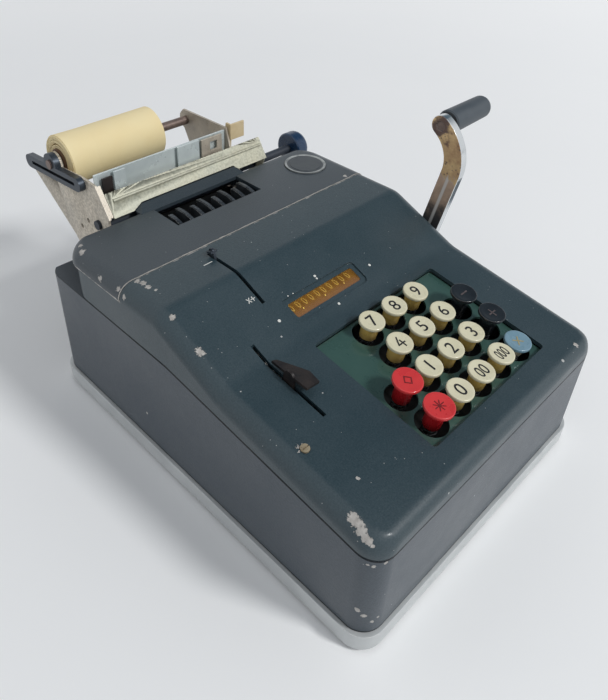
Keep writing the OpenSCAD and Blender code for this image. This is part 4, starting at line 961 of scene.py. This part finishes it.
# %% [markdown]
# ## A lathe in Geometry Nodes
# The key tops are turned shapes: a dished disc with a thin rim on a tapered barrel. All have the
# same rule and differ only in sizes, so one Geometry Nodes tree turns them all. A polyline is
# the profile, a circle of almost no radius is the axis, and Curve to Mesh sweeps the one round
# the other. The number of sides and the finish are the tree's named inputs.

# %% The lathe
lathe = Group("Geometry", "lathe", {"Profile": "Geometry", "Sides": 48, "Surface": "Material"},
              "Turned")
path = lathe.shape("MeshToCurve", {"Mesh": lathe.given["Profile"]})
axis = lathe.shape("CurvePrimitiveCircle", {"Resolution": lathe.given["Sides"], "Radius": 1e-7})
swept = lathe.shape("CurveToMesh", {"Curve": axis, "Profile Curve": path})
lathe.hand_out_shape("Turned", lathe.shape("MergeByDistance", {"Geometry": swept,
                                                               "Distance": 1e-6}))

# %% From a tree to a mesh


def from_tree(name, start, group, **values):
    """The plain mesh that a Geometry Nodes tree makes from a start mesh."""
    holder = put(name, start)
    changer = holder.modifiers.new("tree", "NODES")
    changer.node_group = group.tree
    for label, value in values.items():
        changer[group.slots[label]] = value
    mesh = made_real(holder)
    holder.modifiers.clear()
    bpy.data.objects.remove(holder)
    mesh.name = name
    return mesh


def outward(mesh):
    work = bmesh.new()
    work.from_mesh(mesh)
    bmesh.ops.remove_doubles(work, verts=work.verts, dist=1e-6)
    bmesh.ops.recalc_face_normals(work, faces=work.faces)
    work.to_mesh(mesh)
    work.free()
    return mesh


def turned(name, profile, finish, sides=64):
    line = mesh_of(name, [(r * MM, -h * MM, 0) for r, h in profile], [],
                   [(i, i + 1) for i in range(len(profile) - 1)])
    return outward(from_tree(name, line, lathe, Sides=sides, Surface=finish.material))


print("lathe inputs:", sorted(lathe.slots))

# %% [markdown]
# ## Key tops
# Each key is a shallow dish that a fingertip settles in, a rolled rim that catches the light,
# and a barrel that narrows towards the plate, on a flat steel stem. The field slopes, so the
# keys are turned upright and then laid on the slope with one matrix. Each key moves by itself,
# so each is a piece of its own. Heights are in millimetres over the slope. The upper edges of
# the key slope and of the steep slope are given back and up, from the ruler on the tray.

# %% Sizes of the keys
SLOPE, PITCH = math.radians(9.0), 19.0
SLOPE_TOP, STEEP_TOP = (101, 94.5), (148, 114)
ACROSS, BACK = 12, 56.5
FIELD = Matrix.Translation(
    at(ACROSS, BACK, SLOPE_TOP[1] - (SLOPE_TOP[0] - BACK) * math.tan(SLOPE)))
FIELD = FIELD @ Matrix.Rotation(SLOPE, 4, "X")
DISH, DISH_SHARE = 0.45, 0.86
BARREL_FOOT, STEM_FOOT = -4.0, -23.5
STEM_WIDTH, STEM_THICK, SKIRT = 4.0, 1.5, 2.25


def key_place(column, row):
    return FIELD @ Matrix.Translation(Vector((column * PITCH, (row - 1.5) * PITCH, 0)) * MM)


def key_sizes(name):
    """Radius of the top, its height over the slope, and the two finishes."""
    if name in ("key_total", "key_subtotal"):
        return 7.8, 10.5, red, red_barrel
    if name == "key_repeat":
        return 7.5, 4.0, blue, pale_barrel
    if name in ("key_plus", "key_minus"):
        return 7.5, 10.0, black, black
    return 7.1, 7.5, cream, cream_barrel


def dish_at(share, top):
    return top - DISH * (1 - (share / DISH_SHARE) ** 2)


def key_profile(radius, top):
    dish = [(radius * s, dish_at(s, top)) for s in (0, 0.2, 0.4, 0.6, 0.75, DISH_SHARE)]
    rim = [(radius - inward, top - down) for inward, down in (
        (0.75, 0), (0.35, 0.02), (0.12, 0.12), (0, 0.4), (0, 1.7), (0.15, 2.0), (0.5, 2.2))]
    barrel = [(5.5, top - 2.95), (5.0, top - 3.3), (4.88, top - 3.7), (4.62, BARREL_FOOT + 0.1),
              (4.5, BARREL_FOOT), (0, BARREL_FOOT)]
    return dish + rim + barrel


print("field pitch", PITCH, "mm, slope", round(math.degrees(SLOPE), 1), "degrees")

# %% Turn the keys


def finish_piece(name, mesh, matrix, body, node=None):
    mesh.transform(matrix)
    piece = put(name, mesh)
    if node:
        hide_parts(node)
    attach(piece, body)
    return piece


def add_stem(mesh, slot):
    work = bmesh.new()
    work.from_mesh(mesh)
    high = BARREL_FOOT + 0.1
    middle = Matrix.Translation(Vector((0, 0, (STEM_FOOT + high) / 2 * MM)))
    spread = Matrix.Diagonal(Vector((STEM_WIDTH, STEM_THICK, high - STEM_FOOT)) * MM).to_4x4()
    made = bmesh.ops.create_cube(work, size=1, matrix=middle @ spread)
    for face in {f for v in made["verts"] for f in v.link_faces}:
        face.material_index = slot
    work.to_mesh(mesh)
    work.free()


for name, (column, row, sign) in KEYS.items():
    radius, top, cap, barrel = key_sizes(name)
    mesh = turned(name + "_top", key_profile(radius, top), cap)
    mesh.materials.append(barrel.material)
    # The stem is black as painted shade in its key hole.
    mesh.materials.append(black_for_shade.material)
    # Below the skirt the barrel finish takes over, with its painted shade.
    for polygon in mesh.polygons:
        polygon.material_index = 1 if polygon.center.z < (top - SKIRT) * MM else 0
    shade(mesh, math.radians(50))
    add_stem(mesh, 2)
    finish_piece(name + "_top", mesh, key_place(column, row), name, node=name)
    size = [max(v.co[k] for v in mesh.vertices) for k in range(3)]
    off = max(abs(a - b) for a, b in zip(size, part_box(name)[1])) / MM
    print(name, "differs from its solid by", round(off, 2), "mm")

# %% [markdown]
# ## Springs under the keys
# Under each key a coil spring pushes it up again. The imported model holds all the coils at their
# rest length in one node. A copy is parted into single coils, one for each key.

# %% Part the springs
COIL_REACH = 6 * MM
coils = bmesh.new()
coils.from_mesh(nodes["key_springs"].data)
bmesh.ops.remove_doubles(coils, verts=coils.verts, dist=WELD)
for name, (column, row, sign) in KEYS.items():
    home = key_place(column, row)
    local = home.inverted()
    one = coils.copy()
    strays = [v for v in one.verts if (local @ v.co).xy.length > COIL_REACH]
    bmesh.ops.delete(one, geom=strays, context="VERTS")
    mesh = bpy.data.meshes.new(name + "_spring")
    one.to_mesh(mesh)
    one.free()
    # Black as painted shade in the key holes.
    mesh.materials.append(black_for_shade.material)
    mesh.shade_smooth()
    piece = put(name + "_spring", mesh)
    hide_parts("key_springs")
    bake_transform(piece)
coils.free()

# %% [markdown]
# ## Figures on the keys
# The figures are moulded in and filled with black. A text object gives the outline of a figure,
# becomes a mesh, and each of its points is laid on the dish by the same rule that shaped the
# dish, a hair above it. Signs that the typeface draws badly, such as the diamond, are made
# from a few strokes, in millimetres.

# %% Draw a figure
CAP_SHARE = 0.7


def lettering(text, height):
    curve = bpy.data.curves.new("figure", "FONT")
    curve.body = text
    curve.size = height / CAP_SHARE * MM
    curve.align_x = curve.align_y = "CENTER"
    curve.resolution_u = 6
    curve.offset = curve.extrude = 0.00004
    holder = put("figure", curve)
    mesh = made_real(holder)
    bpy.data.objects.remove(holder)
    across = [v.co.x for v in mesh.vertices]
    along = [v.co.y for v in mesh.vertices]
    middle = Vector(((min(across) + max(across)) / 2, (min(along) + max(along)) / 2, 0))
    mesh.transform(Matrix.Translation(-middle))
    return mesh


def strokes(lines, width, thick=0.08):
    points, faces = [], []
    sides = ((3, 2, 1, 0), (4, 5, 6, 7), (0, 1, 5, 4), (1, 2, 6, 5), (2, 3, 7, 6), (3, 0, 4, 7))
    for a, b in lines:
        a, b = Vector((*a, 0)), Vector((*b, 0))
        run = (b - a).normalized() * width / 2
        side = Vector((-run.y, run.x, 0))
        start = len(points)
        ring = [a - run + side, a - run - side, b + run - side, b + run + side]
        points += [(p + Vector((0, 0, z))) * MM for z in (-thick / 2, thick / 2) for p in ring]
        faces += [tuple(start + i for i in f) for f in sides]
    return mesh_of("sign", points, faces)


def star(count, reach):
    turns = [math.radians(90 + 360 * i / count) for i in range(count)]
    return [((0, 0), (reach * math.cos(a), reach * math.sin(a))) for a in turns]


SIGNS = {
    "diamond": ([((0, 2.6), (2.4, 0)), ((2.4, 0), (0, -2.6)), ((0, -2.6), (-2.4, 0)),
                 ((-2.4, 0), (0, 2.6))], 0.55),
    "*": (star(8, 3.0), 0.5), "x": ([((-2, -2), (2, 2)), ((-2, 2), (2, -2))], 0.7),
    "+": ([((-2.4, 0), (2.4, 0)), ((0, -2.4), (0, 2.4))], 0.8), "-": ([((-2.3, 0), (2.3, 0))], 0.9),
    "4": ([((0.7, 3.3), (-2.1, -1.1)), ((-2.1, -1.1), (2.4, -1.1)),
           ((0.9, 1.0), (0.9, -3.3))], 0.8),
}
print("signs drawn by strokes:", len(SIGNS))

# %% Lay the figures on the keys
SLACK = 0.05
HEIGHT, NARROW = {1: 7.3, 2: 6.6, 3: 6.2}, {1: 1.0, 2: 0.8, 3: 0.62}
INK = {red: figure_dark_red, blue: figure_gold, black: figure_faint, cream: figure_black}
for name, (column, row, sign) in KEYS.items():
    radius, top, cap, barrel = key_sizes(name)
    if sign in SIGNS:
        mesh = strokes(*SIGNS[sign])
    else:
        mesh = lettering(sign, HEIGHT[len(sign)])
        mesh.transform(Matrix.Diagonal((NARROW[len(sign)], 1, 1, 1)))
    mesh.materials.clear()
    mesh.materials.append(INK[cap].material)
    for vert in mesh.vertices:
        share = vert.co.xy.length / MM / radius
        vert.co.z += (min(top, dish_at(share, top)) + SLACK) * MM
    finish_piece(name + "_figure", mesh, key_place(column, row), name)
print("figures on", len(KEYS), "keys")

# %% [markdown]
# ## Figures on the number wheels
# Behind the amber lens each dark wheel carries yellow figures 0 to 9 round its rim, and at rest
# they all show 0. A figure is drawn once, and a copy of it is bent to the rim and turned to its
# place, ten times round for each of the ten wheels. The whole ring turns with the wheels.

# %% Wheel figures
WHEELS, WHEEL_PITCH = 10, 5 * MM
wheel_low, wheel_high = corners(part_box("number_wheels"))
wheel_middle = (wheel_low + wheel_high) / 2
wheel_radius = (wheel_high.z - wheel_low.z) / 2
steep = math.atan2(STEEP_TOP[1] - SLOPE_TOP[1], STEEP_TOP[0] - SLOPE_TOP[0])
READING_LINE, FIGURE_STEP = math.radians(-15), math.radians(36)
HALF_GAP, NARROWED, PROUD = 0.4 * MM, 0.66, 0.00003
drawn = [lettering(str(digit), 5.2) for digit in range(10)]
points, faces = [], []
for wheel in range(WHEELS):
    middle_x = wheel_low.x + (wheel + 0.5) * WHEEL_PITCH - HALF_GAP
    for digit, figure in enumerate(drawn):
        turn = steep + READING_LINE + FIGURE_STEP * digit
        start = len(points)
        for vert in figure.vertices:
            angle = turn - vert.co.y / wheel_radius
            reach = wheel_radius + vert.co.z + PROUD
            points.append((middle_x + vert.co.x * NARROWED,
                           wheel_middle.y - reach * math.sin(angle),
                           wheel_middle.z + reach * math.cos(angle)))
        faces += [tuple(start + i for i in f.vertices) for f in figure.polygons]
figures = mesh_of("wheel_figures", points, faces)
figures.materials.append(figure_pale.material)
finish_piece("wheel_figures", figures, Matrix(), "register")
print("wheel figures:", WHEELS * 10, "in", len(faces), "faces")

# %% [markdown]
# ## Printed marks on the cover
# White dots stand round the register window and short signs beside the two levers. They're
# silk-screened, so they've hardly any thickness. Each is a thin disc or stroke, set down on
# the slope at the spot that a ray from the eye meets, and tipped to lie flat on it.

# %% White marks
LIFT = 0.00002


def disc(radius, sides=20, thick=0.06):
    turns = [2 * math.pi * i / sides for i in range(sides)]
    points = [(radius * math.cos(a) * MM, radius * math.sin(a) * MM, z * MM)
              for z in (-thick / 2, thick / 2) for a in turns]
    faces = [tuple(reversed(range(sides))), tuple(range(sides, 2 * sides))]
    faces += [(i, (i + 1) % sides, sides + (i + 1) % sides, sides + i) for i in range(sides)]
    return mesh_of("dot", points, faces)


def joined(name, meshes, finish):
    work = bmesh.new()
    for mesh in meshes:
        work.from_mesh(mesh)
    result = bpy.data.meshes.new(name)
    work.to_mesh(result)
    work.free()
    result.materials.append(finish.material)
    finish_piece(name, result, Matrix(), "casing")


def set_down(mesh, u, v):
    place, normal = under(u, v)
    mesh.transform(Matrix.Translation(place + normal * LIFT)
                   @ Vector((0, 0, 1)).rotation_difference(normal).to_matrix().to_4x4())
    return mesh


marks = [set_down(disc(radius), u, v) for u, v, radius in
         ((279.3, 320.8, 0.9), (314.8, 276.0, 0.8), (316.8, 278.4, 0.6), (339.0, 303.6, 0.8),
          (369.5, 265.0, 0.8), (288.0, 296.0, 0.4), (293.0, 293.5, 0.35))]
marks.append(set_down(strokes([((-2.6, 0), (2.6, 0))], 0.55), 208, 263.5))
marks.append(set_down(strokes([((-2.0, -1.3), (-0.2, 1.3)), ((-2.0, 1.3), (-0.2, -1.3)),
                               ((0.4, 0), (2.8, 0)), ((1.6, -1.2), (1.6, 1.2))], 0.45), 250.5, 300))
joined("cover_marks", marks, mark_white)
points = [set_down(disc(0.38), u, v) for u, v in ((303.7, 308.0), (325.3, 295.0), (344.0, 283.0))]
joined("lens_points", points, figure_pale)
print("marks:", len(marks), "and points on the lens:", len(points))

# %% [markdown]
# ## The paper roll
# A used roll isn't a smooth drum: its turns slip sideways a little, so the end shows fine ragged
# rings. A spiral follows that rule exactly. In Geometry Nodes a Spiral curve is the path, each
# turn is pushed sideways by a noise that depends on the turn, and a thin upright strip as wide
# as the paper is swept along it.

# %% A tree that winds paper
STEPS = 48
winding = Group("Geometry", "winding", {
    "Core": "Geometry", "Turns": 16.0, "Inner": 0.008, "Outer": 0.017, "Width": 0.064,
    "Ply": 0.0005, "Slip": 0.0006, "Seed": 3.0, "Surface": "Material"}, "Roll")
given = winding.given
spiral = winding.shape("CurveSpiral", {
    "Resolution": STEPS, "Rotations": given["Turns"], "Start Radius": given["Inner"],
    "End Radius": given["Outer"], "Height": 0.0})
turn = winding.calc("DIVIDE", winding.shape("InputIndex"), float(STEPS))
wander = winding.add("ShaderNodeTexNoise", {
    "W": winding.plus(turn, given["Seed"]), "Scale": 0.9, "Detail": 2.0},
    noise_dimensions="1D").outputs[0]
slip = winding.times(winding.minus(wander, 0.5), winding.times(given["Slip"], 4.0))
loose = winding.shape("SetPosition", {"Geometry": spiral,
                                      "Offset": winding.whole(0.0, 0.0, slip)})
strip = winding.shape("CurvePrimitiveQuadrilateral", {"Width": given["Ply"],
                                                      "Height": given["Width"]})
winding.hand_out_shape("Roll", winding.shape("CurveToMesh", {
    "Curve": loose, "Profile Curve": strip, "Fill Caps": True}))

# %% Wind the roll
TURNS, CORE, PACKED, SET_BACK = 16.0, 0.0082, 0.92, 0.0016
roll_low, roll_high = corners(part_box("paper_roll"))
roll_middle = (roll_low + roll_high) / 2
roll_width = roll_high.x - roll_low.x
roll_radius = (roll_high.z - roll_low.z) / 2
ply = (roll_radius - CORE) / TURNS * PACKED
roll = outward(from_tree(
    "wound_roll", bpy.data.meshes.new("core"), winding, Turns=TURNS, Inner=CORE,
    Outer=roll_radius - ply, Width=roll_width - SET_BACK, Ply=ply, Slip=0.0004, Seed=3.0,
    Surface=paper.material))
roll.transform(Matrix.Translation(roll_middle) @ Matrix.Rotation(math.radians(90), 4, "Y"))
# The ends of the roll are made darker, most towards the core.
brown = roll.attributes.new("darker_ends", "FLOAT", "POINT")
for index, vert in enumerate(roll.vertices):
    side = abs(vert.co.x - roll_middle.x) / (roll_width / 2)
    reach = (vert.co.yz - roll_middle.yz).length
    brown.data[index].value = (0.55 if side > 0.9 else 0.0) * (1.0 - 0.6 * (reach / roll_radius))
shade(roll, math.radians(40))
finish_piece("wound_roll", roll, Matrix(), "roll", node="paper_roll")
print("roll:", TURNS, "turns,", len(roll.polygons), "faces, ply", round(ply / MM, 2), "mm")

# %% [markdown]
# ## The pan under the platen
# On such a machine a bent sheet lies close under the platen and leads the paper round to its
# front, and its apron hangs down behind the type. It's the dark thing that the eye meets when it
# looks down through the type window. Its lip stops short of the path of the type. Its outline is
# drawn once in the side view, an arc with a thickness, and then pulled across the machine.

# %% Paper pan
GAP, PAN_THICK, APRON = 0.0012, 0.0007, -0.020
platen_low, platen_high = corners(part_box("platen_roller"))
platen_middle = (platen_low + platen_high) / 2
platen_radius = (platen_high.z - platen_low.z) / 2
bed_low, bed_high = corners(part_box("paper_table"))
arc = [math.radians(a) for a in range(-134, -29, 6)]
outline = []
for reach, way in ((platen_radius + GAP, 1), (platen_radius + GAP + PAN_THICK, -1)):
    side_view = [(reach * math.cos(arc[0]), APRON)]
    side_view += [(reach * math.cos(a), reach * math.sin(a)) for a in arc]
    outline += side_view[::way]
across = (bed_low.x + MM, bed_high.x - MM)
points = [(x, platen_middle.y + y, platen_middle.z + z) for x in across for y, z in outline]
count = len(outline)
faces = [(i, (i + 1) % count, count + (i + 1) % count, count + i) for i in range(count)]
for i in range(count // 2 - 1):
    near_end = (i, count - 1 - i, count - 2 - i, i + 1)
    faces += [near_end, tuple(count + k for k in reversed(near_end))]
pan = outward(mesh_of("paper_pan", points, faces))
# Black as painted shade for the dark inside under the type window.
pan.materials.append(black_for_shade.material)
finish_piece("paper_pan", pan, Matrix(), "casing")
print("pan at radius", round((platen_radius + GAP) / MM, 1), "mm,", len(pan.polygons), "faces")

# %% [markdown]
# ## Type on the segments
# Along the rim of each type segment sit small raised blocks, one for each figure that it can
# print. They repeat by a fixed rule, an angle apart on one arc, so Geometry Nodes place them:
# points on an arc, a small block on each, turned to face outwards.

# %% A tree that sets type
typing = Group("Geometry", "type blocks", {
    "Hubs": "Geometry", "Count": 10, "Radius": 0.03, "First": 0.3, "Last": 1.0,
    "Thick": 0.0024, "Tall": 0.001, "Surface": "Material"}, "Blocks")
given = typing.given
row = typing.shape("MeshLine", {"Count": given["Count"]})
share = typing.calc("DIVIDE", typing.shape("InputIndex"), typing.minus(given["Count"], 1.0))
angle = typing.plus(given["First"], typing.times(share, typing.minus(given["Last"],
                                                                     given["First"])))
high = typing.times(typing.calc("COSINE", angle), given["Radius"])
wide = typing.times(typing.calc("SINE", angle), typing.times(given["Radius"], -1.0))
on_rim = typing.shape("SetPosition", {"Geometry": row, "Position": typing.whole(0.0, wide, high)})
block = typing.shape("MeshCube", {"Size": typing.whole(given["Thick"], 0.0019, given["Tall"])})
one = typing.shape("RealizeInstances", {"Geometry": typing.shape("InstanceOnPoints", {
    "Points": on_rim, "Instance": block, "Rotation": typing.whole(angle, 0.0, 0.0)})})
typing.hand_out_shape("Blocks", typing.shape("InstanceOnPoints", {
    "Points": given["Hubs"], "Instance": one}))

# %% Set the type
TYPE_AXIS, FIRST_SEGMENT, SEGMENTS = at(0, 218, 84), -38.5, 8
TYPE_PITCH, TYPE_THICK, TYPE_TALL = 8.25, 2.1, 0.9
FIRST_TYPE, LAST_TYPE = math.radians(-8), math.radians(24)
for number, (group, lift) in enumerate((("raised", math.radians(8)), ("resting", 0.0))):
    hubs = mesh_of("hubs", [
        TYPE_AXIS + Vector(((FIRST_SEGMENT + TYPE_PITCH * (i + 0.5)) * MM, 0, 0))
        for i in range(number, SEGMENTS, 2)], [])
    blocks = from_tree(
        "type_blocks_" + group, hubs, typing, Count=9, Radius=0.0300,
        First=FIRST_TYPE + lift, Last=LAST_TYPE + lift, Thick=TYPE_THICK * MM,
        Tall=TYPE_TALL * MM, Surface=type_dark.material)
    finish_piece("type_blocks_" + group, blocks, Matrix(), "type_" + group)
    print(group, "segments carry", len(blocks.polygons) // 6, "blocks")

# %% [markdown]
# ## Measure
# The outline of the dressed machine is measured. It should not be larger than its solids, or it
# would lie about its size.

# %% Finish
low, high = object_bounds()
